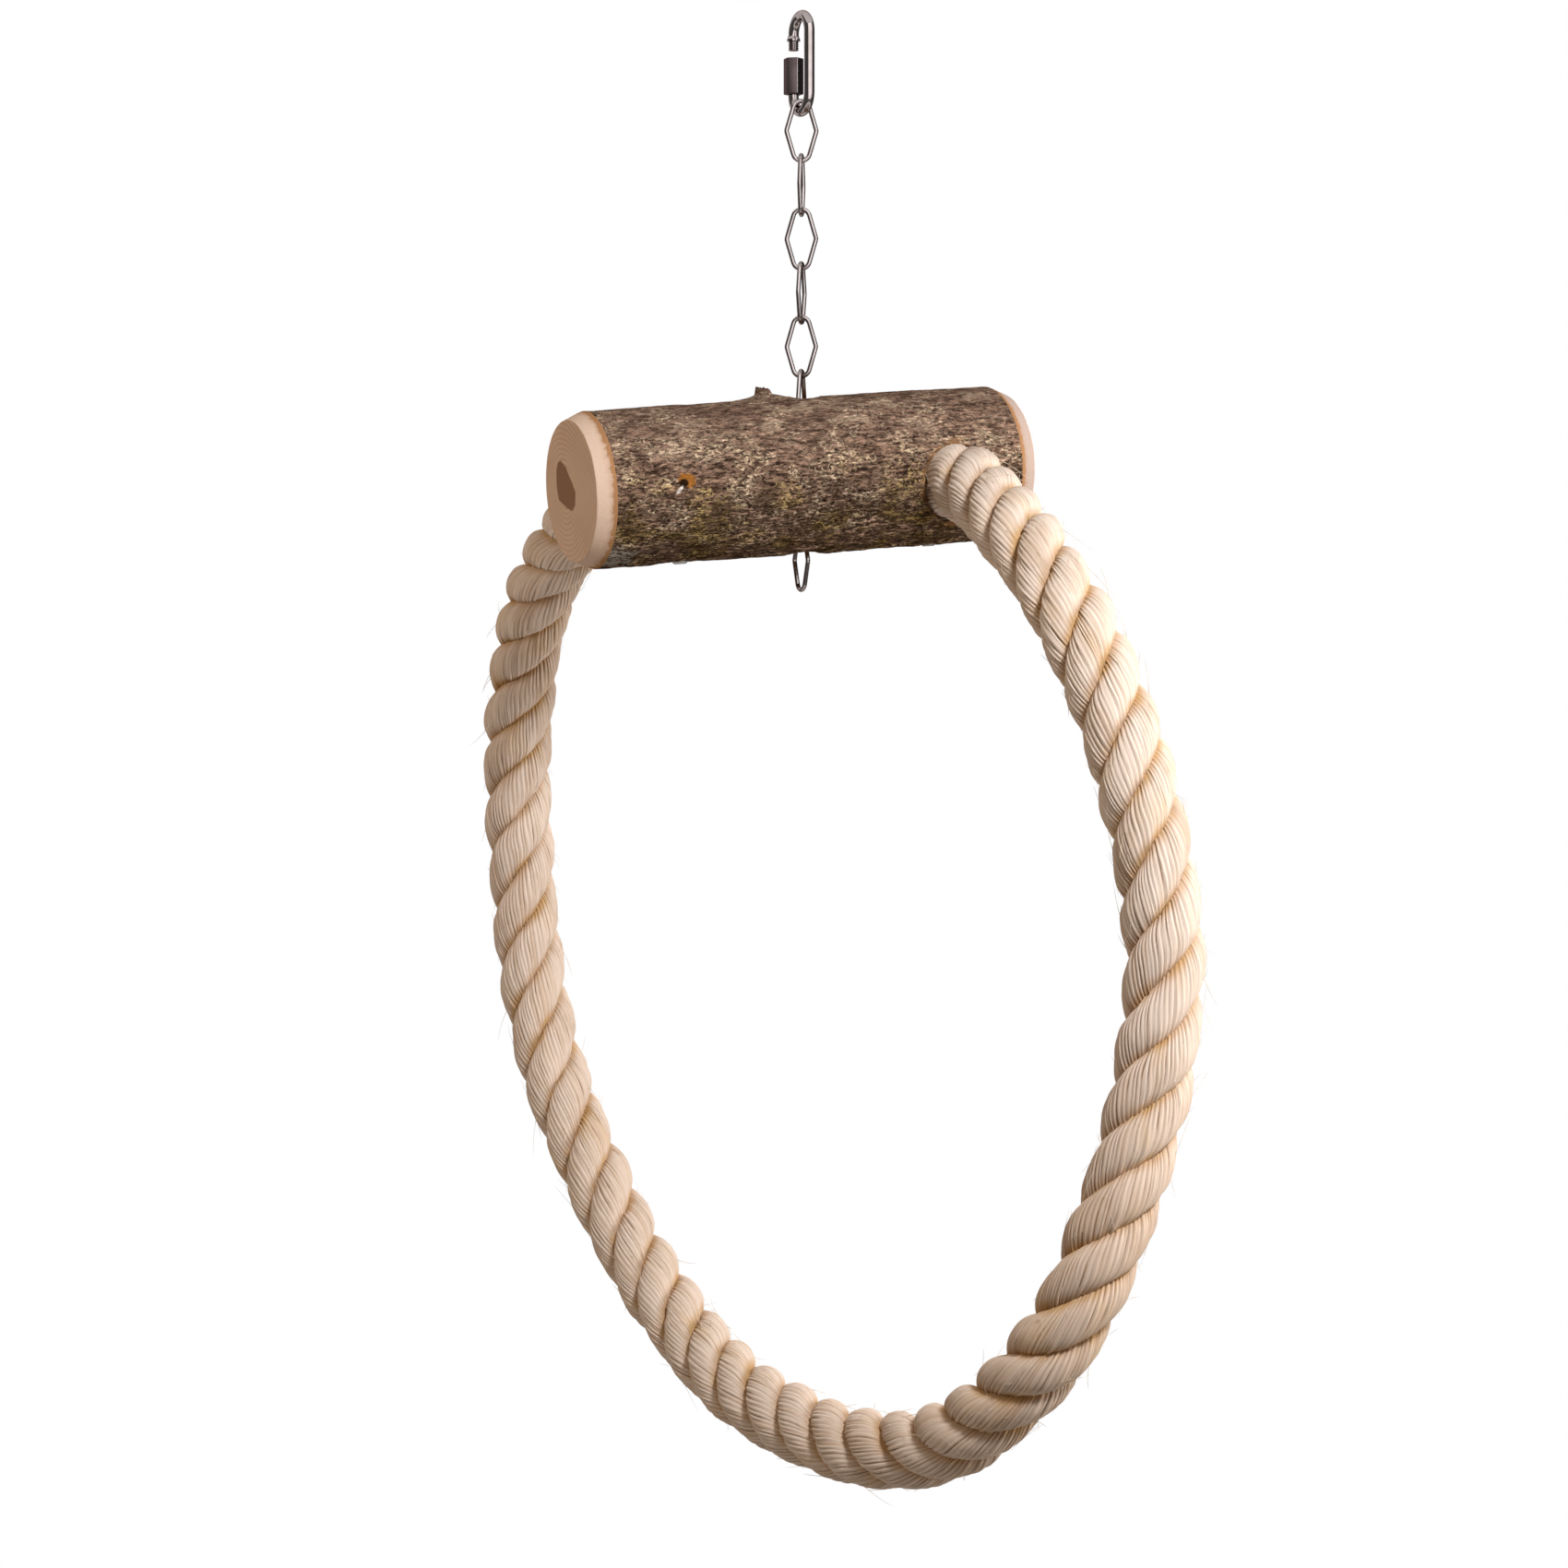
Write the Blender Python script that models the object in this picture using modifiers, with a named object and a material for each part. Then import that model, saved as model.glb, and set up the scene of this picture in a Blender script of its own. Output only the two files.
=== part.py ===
"""Sisal ring bird swing: a ring of thick rope under a branch log, hung on a chain with a screw quick link.

Metres, +Z up. The origin is the inside of the quick link's top bend, where a hook carries the swing.
X runs along the log, with its higher end at +X, and Y runs away from its front.
"""

import math

import bmesh
import bpy
from mathutils import Matrix, Vector

# Gaps between pieces
TOUCH_GAP = 0.0003
ROPE_GAP = 0.0008
CUT_OVERRUN = 0.010
WELD = 0.00001
SHARP_ANGLE = math.radians(35.0)

# Quick link, bent from round bar, standing open
BAR_DIAMETER = 0.005
QUICK_INNER_LENGTH = 0.0398
QUICK_BAR_SPACING = 0.0165
QUICK_YAW = math.radians(-88.0)
COLLAR_BELOW_TOP = 0.0072
COLLAR_LENGTH = 0.0014
COLLAR_DIAMETER = 0.0064
COLLAR_EDGE = 0.0001
STUD_LENGTH = 0.0043
STUD_TO_NUT = 0.0035
BEND_STEPS = 12
BAR_ROUNDNESS = 3

# Hexagonal sleeve nut of the quick link
NUT_LENGTH = 0.017
NUT_ACROSS_FLATS = 0.0085
NUT_EDGE_BEVEL = 0.0007
NUT_SIDES = 6
NUT_BORE_SIDES = 24

# Chain of bent wire, with long hexagonal links whose ends are round
WIRE_DIAMETER = 0.0022
LINK_INNER_LENGTH = 0.02565
LINK_OUTER_WIDTH = 0.0162
LINK_END_RADIUS = 0.004
LINK_SIDE_RADIUS = 0.003
LINK_YAWS = [math.radians(turn) for turn in (-22, 58, -35, 53, -37, 53, -54, 19, -88)]
END_STEPS = 8
SIDE_STEPS = 3
WIRE_ROUNDNESS = 2
LINK_ABOVE_LOG = 6
PINNED_LINK = 8

# Branch log, measured along its own axis from where the chain crosses it
LOG_LEFT_LENGTH = 0.1173
LOG_RIGHT_LENGTH = 0.1082
LOG_LEFT_RADIUS = 0.0365
LOG_RIGHT_RADIUS = 0.0377
LOG_TILT = math.radians(4.2)
LOG_BEVEL_LENGTH = 0.0086
LOG_BEVEL_DEPTH = 0.0038
LOG_SIDES = 48
CHAIN_BORE_CLEARANCE = 0.0018
CHAIN_BORE_SIDES = 32
TWIG_OFFSET = 0.017
TWIG_BASE_RADIUS = 0.0065
TWIG_TOP_RADIUS = 0.0037
TWIG_HEIGHT = 0.0055
TWIG_SIDES = 12

# Rope, whose two ends are sunk in the log from opposite sides
ROPE_DIAMETER = 0.036
ROPE_HOLE_OFFSET = 0.0655
ROPE_HOLE_DROP = 0.008
ROPE_SUNK_PAST_AXIS = 0.020
ROPE_STRAIGHT_BEFORE_MOUTH = 0.008
ROPE_STRAIGHT_TO_MOUTH = 0.040
ROPE_SAMPLES = 2
ROPE_ROUNDNESS = 4

# Free route of the rope in the log's own frame, from the right hole round the ring to the left hole
ROPE_ROUTE = [
    (0.0615, -0.063, -0.014),
    (0.0534, -0.1115, -0.0324),
    (0.052, -0.155, -0.064),
    (0.057, -0.183, -0.110),
    (0.062, -0.198, -0.163),
    (0.063, -0.204, -0.217),
    (0.053, -0.204, -0.272),
    (0.034, -0.202, -0.323),
    (0.013, -0.191, -0.372),
    (-0.005, -0.159, -0.413),
    (-0.019, -0.115, -0.442),
    (-0.033, -0.063, -0.453),
    (-0.043, -0.009, -0.452),
    (-0.050, 0.045, -0.444),
    (-0.054, 0.096, -0.426),
    (-0.060, 0.142, -0.396),
    (-0.066, 0.179, -0.356),
    (-0.072, 0.208, -0.311),
    (-0.075, 0.224, -0.258),
    (-0.076, 0.226, -0.204),
    (-0.078, 0.217, -0.150),
    (-0.0785, 0.196, -0.099),
    (-0.079, 0.1625, -0.0565),
    (-0.077, 0.116, -0.025),
    (-0.071, 0.0675, -0.010),
]

# Steel pin that carries the log on the chain, driven in from the back
PIN_DIAMETER = 0.004
PIN_BELOW_AXIS = 0.0229
PIN_HEAD_DIAMETER = 0.008
PIN_HEAD_HEIGHT = 0.0015
PIN_HEAD_SINK = 0.0025
PIN_BITE = 0.012
PIN_TIP = 0.004

# Wood screws that hold the rope's ends, driven up from under the log
SCREW_DIAMETER = 0.0044
SCREW_HEAD_DIAMETER = 0.009
SCREW_HEAD_HEIGHT = 0.003
SCREW_HEAD_SINK = 0.0025
SCREW_HEAD_FLAT_SHARE = 0.6
SCREW_BITE = 0.010
SCREW_TIP = 0.006
RECESS_LENGTH = 0.005
RECESS_WIDTH = 0.001
RECESS_DEPTH = 0.0015
TURNED_SIDES = 24

# Values worked out from the driving dimensions
BAR_RADIUS = BAR_DIAMETER / 2
WIRE_RADIUS = WIRE_DIAMETER / 2
ROPE_RADIUS = ROPE_DIAMETER / 2
PIN_RADIUS = PIN_DIAMETER / 2
SCREW_RADIUS = SCREW_DIAMETER / 2
SCREW_HEAD_RADIUS = SCREW_HEAD_DIAMETER / 2
QUICK_FOOT = -(QUICK_INNER_LENGTH + BAR_RADIUS)
NUT_TOP = -(COLLAR_BELOW_TOP + COLLAR_LENGTH + STUD_LENGTH + STUD_TO_NUT)
LINK_HALF_LENGTH = (LINK_INNER_LENGTH + WIRE_DIAMETER) / 2
LINK_HALF_WIDTH = (LINK_OUTER_WIDTH - WIRE_DIAMETER) / 2
CHAIN_BORE_RADIUS = (LINK_OUTER_WIDTH + CHAIN_BORE_CLEARANCE) / 2
ROPE_HOLE_RADIUS = ROPE_RADIUS + ROPE_GAP


def new_collection(name):
    """An empty collection in the scene."""
    collection = bpy.data.collections.new(name)
    bpy.context.scene.collection.children.link(collection)
    return collection


for old in list(bpy.data.objects):
    bpy.data.objects.remove(old, do_unlink=True)
SWING = new_collection("sisal_ring_bird_swing")
CUTTERS = new_collection("cutters")


def finish(name, colour, roughness, metallic):
    """A Principled material with one colour."""
    material = bpy.data.materials.new(name)
    material.use_nodes = True
    shader = material.node_tree.nodes["Principled BSDF"]
    shader.inputs["Base Color"].default_value = (*colour, 1.0)
    shader.inputs["Roughness"].default_value = roughness
    shader.inputs["Metallic"].default_value = metallic
    return material


STAINLESS = finish("stainless_steel", (0.56, 0.54, 0.53), 0.25, 1.0)
NUT_STEEL = finish("nut_steel", (0.40, 0.37, 0.37), 0.35, 1.0)
ZINC = finish("zinc_plated_steel", (0.62, 0.62, 0.60), 0.35, 1.0)
BARK = finish("bark_log", (0.16, 0.12, 0.08), 0.85, 0.0)
SISAL = finish("sisal_rope", (0.62, 0.47, 0.31), 0.8, 0.0)


def place(obj, parent, location=(0, 0, 0), rotation=(0, 0, 0)):
    """Put an object in its parent's frame."""
    obj.parent = parent
    obj.location = location
    obj.rotation_euler = rotation
    return obj


def add_piece(name, data, material):
    """A new object of the swing with its own material."""
    obj = bpy.data.objects.new(name, data)
    SWING.objects.link(obj)
    data.materials.append(material)
    return obj


def add_frame(name, parent, location, rotation=(0, 0, 0)):
    """An empty that carries pieces."""
    frame = bpy.data.objects.new(name, None)
    SWING.objects.link(frame)
    return place(frame, parent, location, rotation)


def smooth(mesh):
    """Shade a mesh smooth, apart from its sharp edges."""
    mesh.shade_smooth()
    mesh.set_sharp_from_angle(angle=SHARP_ANGLE)


def tube_curve(name, points, radius, closed, bevel_resolution):
    """A round bar along points, each with its own share of the radius."""
    curve = bpy.data.curves.new(name, "CURVE")
    curve.dimensions = "3D"
    curve.bevel_depth = radius
    curve.bevel_resolution = bevel_resolution
    curve.use_fill_caps = not closed
    spline = curve.splines.new("POLY")
    spline.points.add(len(points) - 1)
    for spot, (place_on_path, share) in zip(spline.points, points):
        spot.co = (*place_on_path, 1.0)
        spot.radius = share
    spline.use_cyclic_u = closed
    return curve


def tube_mesh(name, points, radius, bevel_resolution):
    """The same bar as a closed mesh, so that it can be cut."""
    curve = tube_curve(name, points, radius, False, bevel_resolution)
    shaper = bpy.data.objects.new(name + "_curve", curve)
    SWING.objects.link(shaper)
    graph = bpy.context.evaluated_depsgraph_get()
    mesh = bpy.data.meshes.new_from_object(shaper.evaluated_get(graph))
    bpy.data.objects.remove(shaper, do_unlink=True)
    shape = bmesh.new()
    shape.from_mesh(mesh)
    bmesh.ops.remove_doubles(shape, verts=shape.verts, dist=WELD)
    bmesh.ops.recalc_face_normals(shape, faces=shape.faces)
    shape.to_mesh(mesh)
    shape.free()
    mesh.name = name
    smooth(mesh)
    return mesh


def turned(name, profile, material, sides):
    """A piece turned about its own Z from a profile of (radius, height), from top to bottom."""
    mesh = bpy.data.meshes.new(name)
    spots = [(radius, 0.0, height) for radius, height in profile]
    mesh.from_pydata(spots, [(n, n + 1) for n in range(len(spots) - 1)], [])
    obj = add_piece(name, mesh, material)
    screw = obj.modifiers.new("turn", "SCREW")
    screw.axis = "Z"
    screw.angle = 2 * math.pi
    screw.steps = sides
    screw.render_steps = sides
    screw.use_merge_vertices = True
    screw.merge_threshold = WELD
    return obj


def cutter(name, shape, parent, location=(0, 0, 0), rotation=(0, 0, 0)):
    """A hidden object that cuts or joins others."""
    mesh = bpy.data.meshes.new(name)
    shape.to_mesh(mesh)
    shape.free()
    obj = bpy.data.objects.new(name, mesh)
    obj.hide_render = True
    obj.display_type = "WIRE"
    CUTTERS.objects.link(obj)
    return place(obj, parent, location, rotation)


def round_bar(radius, low, high, sides=TURNED_SIDES, top_radius=None):
    """A cylinder or cone on Z between two heights."""
    shape = bmesh.new()
    bmesh.ops.create_cone(
        shape,
        cap_ends=True,
        segments=sides,
        radius1=radius,
        radius2=radius if top_radius is None else top_radius,
        depth=high - low,
        matrix=Matrix.Translation((0, 0, (low + high) / 2)),
    )
    return shape


def block(length, width, height):
    """A box centred on the origin."""
    shape = bmesh.new()
    bmesh.ops.create_cube(shape, size=1.0, matrix=Matrix.Diagonal((length, width, height, 1.0)))
    return shape


def shape_with(obj, other, operation="DIFFERENCE"):
    """Cut or join one object with another."""
    boolean = obj.modifiers.new(other.name, "BOOLEAN")
    boolean.operation = operation
    boolean.solver = "EXACT"
    boolean.object = other


def arc(centre, radius, first, last, steps):
    """Points on an arc in the XZ plane, between two angles from +X towards +Z."""
    turns = [first + (last - first) * n / steps for n in range(steps + 1)]
    return [
        (centre[0] + radius * math.cos(turn), 0.0, centre[1] + radius * math.sin(turn))
        for turn in turns
    ]


# Quick link


def make_quick_link():
    """The bent bar: from its lower end inside the nut, round the bar side, to the collar and stud."""
    half = QUICK_BAR_SPACING / 2
    lower_end = (-half, 0.0, NUT_TOP)
    path = [(lower_end, 1.0)]
    foot = arc((0.0, QUICK_FOOT + half), half, math.pi, 2 * math.pi, BEND_STEPS)
    head = arc((0.0, BAR_RADIUS - half), half, 0.0, math.pi, BEND_STEPS)
    path += [(spot, 1.0) for spot in foot + head]
    collar_share = COLLAR_DIAMETER / BAR_DIAMETER
    collar_top = -COLLAR_BELOW_TOP
    collar_foot = collar_top - COLLAR_LENGTH
    for height, share in [
        (collar_top, 1.0),
        (collar_top - COLLAR_EDGE, collar_share),
        (collar_foot + COLLAR_EDGE, collar_share),
        (collar_foot, 1.0),
        (collar_foot - STUD_LENGTH, 1.0),
    ]:
        path.append(((-half, 0.0, height), share))
    mesh = tube_mesh("quick_link", path, BAR_RADIUS, BAR_ROUNDNESS)
    return place(add_piece("quick_link", mesh, STAINLESS), None, rotation=(0, 0, QUICK_YAW))


def make_lock_nut(quick_link):
    """The sleeve nut, on its slide along the link's open side."""
    shape = round_bar(NUT_ACROSS_FLATS / math.sqrt(3), -NUT_LENGTH, 0.0, sides=NUT_SIDES)
    rims = [edge for edge in shape.edges if abs(edge.verts[0].co.z - edge.verts[1].co.z) < WELD]
    bmesh.ops.bevel(shape, geom=rims, offset=NUT_EDGE_BEVEL, segments=1, affect="EDGES")
    mesh = bpy.data.meshes.new("lock_nut")
    shape.to_mesh(mesh)
    shape.free()
    nut = place(
        add_piece("lock_nut", mesh, NUT_STEEL), quick_link, (-QUICK_BAR_SPACING / 2, 0, NUT_TOP)
    )
    reach = NUT_LENGTH + CUT_OVERRUN
    bore = round_bar(BAR_RADIUS + TOUCH_GAP, -reach, CUT_OVERRUN, sides=NUT_BORE_SIDES)
    shape_with(nut, cutter("nut_bore", bore, nut))
    return nut


# Chain


def side_lean():
    """Angle between a link's straight sides and its length."""
    along = LINK_HALF_LENGTH - LINK_END_RADIUS
    across = LINK_HALF_WIDTH - LINK_SIDE_RADIUS
    step = math.asin((LINK_END_RADIUS - LINK_SIDE_RADIUS) / math.hypot(along, across))
    return math.atan2(across, along) - step


def wire_rise(crossing_radius, crossing_turn):
    """Height of a link's end above the bar that it hangs on, from centre to centre.

    A thin bar lies in the round end. A thick one, or one that crosses at a slant, stops between the sides.
    """
    lean = side_lean()
    reach = crossing_radius + WIRE_RADIUS + TOUCH_GAP
    side = Vector((math.sin(lean), 0.0, -math.cos(lean)))
    bar = Vector((math.cos(crossing_turn), math.sin(crossing_turn), 0.0))
    normal = bar.cross(side).normalized()
    slant = abs(normal.x) / math.cos(lean)
    between_sides = LINK_END_RADIUS + (reach / slant - LINK_END_RADIUS) / math.sin(lean)
    return max(reach, between_sides)


def link_outline(rise):
    """Centre line of a link's wire, whose top lies above the origin by rise."""
    lean = side_lean()
    centre = rise - LINK_HALF_LENGTH
    top = (0.0, centre + LINK_HALF_LENGTH - LINK_END_RADIUS)
    foot = (0.0, centre - LINK_HALF_LENGTH + LINK_END_RADIUS)
    right = (LINK_HALF_WIDTH - LINK_SIDE_RADIUS, centre)
    left = (LINK_SIDE_RADIUS - LINK_HALF_WIDTH, centre)
    return (
        arc(top, LINK_END_RADIUS, math.pi - lean, lean, END_STEPS)
        + arc(right, LINK_SIDE_RADIUS, lean, -lean, SIDE_STEPS)
        + arc(foot, LINK_END_RADIUS, -lean, lean - math.pi, END_STEPS)
        + arc(left, LINK_SIDE_RADIUS, math.pi + lean, math.pi - lean, SIDE_STEPS)
    )


def make_link(number, parent, location, turn, rise):
    """One link, whose origin is the axis of the bar that it hangs on."""
    name = f"chain_link_{number}"
    points = [(spot, 1.0) for spot in link_outline(rise)]
    curve = tube_curve(name, points, WIRE_RADIUS, True, WIRE_ROUNDNESS)
    return place(add_piece(name, curve, STAINLESS), parent, location, (0, 0, turn))


LINK_RISE = WIRE_DIAMETER + TOUCH_GAP
LINK_PITCH = 2 * LINK_HALF_LENGTH - LINK_RISE
FIRST_RISE = wire_rise(BAR_RADIUS, LINK_YAWS[0] - QUICK_YAW)
FIRST_DROP = 2 * LINK_HALF_LENGTH - FIRST_RISE
LOG_PIVOT_Z = QUICK_FOOT - FIRST_DROP - LINK_PITCH * (LINK_ABOVE_LOG - 1)
PIN_ABOVE_PINNED_FOOT = LINK_RISE + WIRE_RADIUS + TOUCH_GAP + PIN_RADIUS
PIN_Z = LOG_PIVOT_Z - LINK_PITCH * (PINNED_LINK - LINK_ABOVE_LOG) + PIN_ABOVE_PINNED_FOOT
LOG_AXIS_Z = PIN_Z + PIN_BELOW_AXIS


def make_chain(quick_link):
    """All links, each in the frame of the one it hangs on. Returns the frame that the log swings with."""
    pivot = None
    parent = quick_link
    drop = -QUICK_FOOT
    parent_yaw = QUICK_YAW
    for number, yaw in enumerate(LINK_YAWS, start=1):
        if number == LINK_ABOVE_LOG + 1:
            pivot = add_frame("log_swing_pivot", parent, (0, 0, -drop), (0, 0, -parent_yaw))
            parent, drop, parent_yaw = pivot, 0.0, 0.0
        rise = FIRST_RISE if number == 1 else LINK_RISE
        link = make_link(number, parent, (0, 0, -drop), yaw - parent_yaw, rise)
        parent, drop, parent_yaw = link, 2 * LINK_HALF_LENGTH - rise, yaw
    return pivot


# Log


def log_radius(along):
    """Radius of the log's bark at a place along its axis."""
    share = (along + LOG_LEFT_LENGTH) / (LOG_LEFT_LENGTH + LOG_RIGHT_LENGTH)
    return LOG_LEFT_RADIUS + (LOG_RIGHT_RADIUS - LOG_LEFT_RADIUS) * share


def make_log(log_frame, pivot):
    """The branch, with its bevelled ends, twig stub and chain bore. The rope, pin and screws cut it later."""
    right_edge = LOG_RIGHT_LENGTH - LOG_BEVEL_LENGTH
    left_edge = LOG_BEVEL_LENGTH - LOG_LEFT_LENGTH
    profile = [
        (0.0, LOG_RIGHT_LENGTH),
        (LOG_RIGHT_RADIUS - LOG_BEVEL_DEPTH, LOG_RIGHT_LENGTH),
        (log_radius(right_edge), right_edge),
        (log_radius(left_edge), left_edge),
        (LOG_LEFT_RADIUS - LOG_BEVEL_DEPTH, -LOG_LEFT_LENGTH),
        (0.0, -LOG_LEFT_LENGTH),
    ]
    log = place(turned("log", profile, BARK, LOG_SIDES), log_frame, rotation=(0, math.pi / 2, 0))
    bark_top = log_radius(-TWIG_OFFSET)
    twig_foot = bark_top - CUT_OVERRUN
    twig_top = bark_top + TWIG_HEIGHT
    twig = round_bar(TWIG_BASE_RADIUS, twig_foot, twig_top, TWIG_SIDES, TWIG_TOP_RADIUS)
    shape_with(log, cutter("twig_stub", twig, log_frame, (-TWIG_OFFSET, 0, 0)), "UNION")
    reach = log_radius(0.0) + CUT_OVERRUN
    bore = round_bar(CHAIN_BORE_RADIUS, -reach, reach, CHAIN_BORE_SIDES)
    centre = (0, 0, LOG_AXIS_Z - LOG_PIVOT_Z)
    shape_with(log, cutter("chain_bore", bore, pivot, centre))
    return log


def rope_end_places(side):
    """The straight end of the rope in its hole, from inside the log to the mouth."""
    along = side * ROPE_HOLE_OFFSET
    return [
        (along, side * reach, -ROPE_HOLE_DROP)
        for reach in (ROPE_SUNK_PAST_AXIS, -ROPE_STRAIGHT_BEFORE_MOUTH, -ROPE_STRAIGHT_TO_MOUTH)
    ]


def smooth_route(places, samples):
    """Points on a smooth curve through the places, with samples points on each span."""
    spots = [Vector(spot) for spot in places]
    spots = [2 * spots[0] - spots[1]] + spots + [2 * spots[-1] - spots[-2]]
    route = []
    for before, start, end, after in zip(spots, spots[1:], spots[2:], spots[3:]):
        for step in range(samples):
            t = step / samples
            bend = 2 * before - 5 * start + 4 * end - after
            twist = 3 * start - before - 3 * end + after
            route.append(start + ((end - before) * t + bend * t**2 + twist * t**3) / 2)
    return route + [spots[-2]]


def make_rope(log_frame, log):
    """The rope ring, and the two blind holes that its ends sit in."""
    places = rope_end_places(1) + ROPE_ROUTE + rope_end_places(-1)[::-1]
    points = [(spot, 1.0) for spot in smooth_route(places, ROPE_SAMPLES)]
    mesh = tube_mesh("rope_ring", points, ROPE_RADIUS, ROPE_ROUNDNESS)
    rope = place(add_piece("rope_ring", mesh, SISAL), log_frame)
    mouth = LOG_RIGHT_RADIUS + CUT_OVERRUN
    for side, name in ((1, "rope_hole_right"), (-1, "rope_hole_left")):
        hole = round_bar(ROPE_HOLE_RADIUS, -ROPE_SUNK_PAST_AXIS - TOUCH_GAP, mouth, LOG_SIDES)
        centre = (side * ROPE_HOLE_OFFSET, 0, -ROPE_HOLE_DROP)
        quarter_turn = (side * math.pi / 2, 0, 0)
        shape_with(log, cutter(name, hole, log_frame, centre, quarter_turn))
    return rope


# Pin and screws


def make_chain_pin(pivot, log):
    """The pin through the hidden link, with its head sunk in the back of the log."""
    back = math.sqrt(log_radius(0.0) ** 2 - PIN_BELOW_AXIS**2)
    seat = back - PIN_HEAD_SINK
    length = seat + CHAIN_BORE_RADIUS + PIN_BITE
    head_radius = PIN_HEAD_DIAMETER / 2
    profile = [
        (0.0, PIN_HEAD_HEIGHT),
        (head_radius, PIN_HEAD_HEIGHT),
        (head_radius, 0.0),
        (PIN_RADIUS, 0.0),
        (PIN_RADIUS, PIN_TIP - length),
        (0.0, -length),
    ]
    to_back = (-math.pi / 2, 0, 0)
    centre = (0, seat, PIN_Z - LOG_PIVOT_Z)
    pin = place(turned("chain_pin", profile, ZINC, TURNED_SIDES), pivot, centre, to_back)
    hole = round_bar(PIN_RADIUS + TOUCH_GAP, -length - TOUCH_GAP, CUT_OVERRUN)
    shape_with(log, cutter("pin_hole", hole, pivot, centre, to_back))
    sink = round_bar(head_radius + TOUCH_GAP, -TOUCH_GAP, CUT_OVERRUN)
    shape_with(log, cutter("pin_head_sink", sink, pivot, centre, to_back))
    return pin


def make_rope_screw(side, name, log_frame, log, rope):
    """A pan-head screw with a cross recess, up through the log, the rope's end and the log again."""
    along = side * ROPE_HOLE_OFFSET
    seat = SCREW_HEAD_SINK - log_radius(along)
    length = ROPE_HOLE_RADIUS - ROPE_HOLE_DROP + SCREW_BITE - seat
    profile = [
        (0.0, length),
        (SCREW_RADIUS, length - SCREW_TIP),
        (SCREW_RADIUS, 0.0),
        (SCREW_HEAD_RADIUS, 0.0),
        (SCREW_HEAD_RADIUS, -SCREW_HEAD_HEIGHT / 2),
        (SCREW_HEAD_RADIUS * SCREW_HEAD_FLAT_SHARE, -SCREW_HEAD_HEIGHT),
        (0.0, -SCREW_HEAD_HEIGHT),
    ]
    centre = (along, 0, seat)
    screw = place(turned(name, profile, ZINC, TURNED_SIDES), log_frame, centre)
    for turn in (0.0, math.pi / 2):
        slot = block(RECESS_LENGTH, RECESS_WIDTH, 2 * RECESS_DEPTH)
        foot = (along, 0, seat - SCREW_HEAD_HEIGHT)
        shape_with(screw, cutter(f"{name}_recess", slot, log_frame, foot, (0, 0, turn)))
    drill = cutter(
        f"{name}_hole",
        round_bar(SCREW_RADIUS + TOUCH_GAP, -CUT_OVERRUN, length + TOUCH_GAP),
        log_frame,
        centre,
    )
    shape_with(log, drill)
    shape_with(rope, drill)
    sink = round_bar(SCREW_HEAD_RADIUS + TOUCH_GAP, -CUT_OVERRUN, TOUCH_GAP)
    shape_with(log, cutter(f"{name}_sink", sink, log_frame, centre))
    return screw


def make_swing():
    """The whole swing."""
    quick_link = make_quick_link()
    make_lock_nut(quick_link)
    pivot = make_chain(quick_link)
    axis_place = (0, 0, LOG_AXIS_Z - LOG_PIVOT_Z)
    log_frame = add_frame("log_frame", pivot, axis_place, (0, -LOG_TILT, 0))
    log = make_log(log_frame, pivot)
    rope = make_rope(log_frame, log)
    make_chain_pin(pivot, log)
    make_rope_screw(1, "rope_screw_right", log_frame, log, rope)
    make_rope_screw(-1, "rope_screw_left", log_frame, log, rope)


make_swing()
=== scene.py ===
"""Looks of the sisal ring bird swing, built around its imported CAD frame. Metres, in the CAD's own frame."""

import logging
import math
import random
from dataclasses import dataclass
from enum import Enum
from typing import Any, Callable, Dict, List, Optional, Tuple, Union

import bpy
import numpy as np
from mathutils import Matrix, Vector


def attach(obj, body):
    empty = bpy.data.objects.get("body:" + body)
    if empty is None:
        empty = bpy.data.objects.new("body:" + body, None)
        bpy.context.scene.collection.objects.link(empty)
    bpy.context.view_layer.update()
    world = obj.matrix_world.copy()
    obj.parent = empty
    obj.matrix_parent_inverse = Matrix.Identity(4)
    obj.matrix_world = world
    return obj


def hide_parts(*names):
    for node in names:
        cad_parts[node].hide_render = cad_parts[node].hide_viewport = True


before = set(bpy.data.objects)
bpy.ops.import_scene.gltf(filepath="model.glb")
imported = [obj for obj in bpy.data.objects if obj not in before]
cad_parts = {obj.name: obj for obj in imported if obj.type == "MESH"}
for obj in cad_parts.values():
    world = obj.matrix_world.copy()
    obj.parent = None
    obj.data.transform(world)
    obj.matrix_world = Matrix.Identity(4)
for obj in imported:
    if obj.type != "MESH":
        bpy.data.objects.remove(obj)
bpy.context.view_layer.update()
LOGGER = logging.getLogger("swing")

Colour = Tuple[float, float, float]
Place = Tuple[float, float, float]

# The log's own frame: its axis meets the chain at this height, and its right end is higher
LOG_AXIS_HEIGHT = -0.21396
LOG_TILT = math.radians(4.2)
LOG_FRAME = Matrix.Translation((0.0, 0.0, LOG_AXIS_HEIGHT)) @ Matrix.Rotation(-LOG_TILT, 4, "Y")
LOG_BODY = "log_and_rope"

# The two rope holes, out from the chain and below the log's axis
ROPE_HOLE_OFFSET = 0.0655
ROPE_HOLE_DROP = 0.008

WHITE: Colour = (1.0, 1.0, 1.0)


class Slot(Enum):
    """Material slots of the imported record."""

    STAINLESS = "stainless_steel"
    NUT = "nut_steel"
    ZINC = "zinc_plated_steel"
    BARK = "bark_log"
    SISAL = "sisal_rope"


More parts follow.
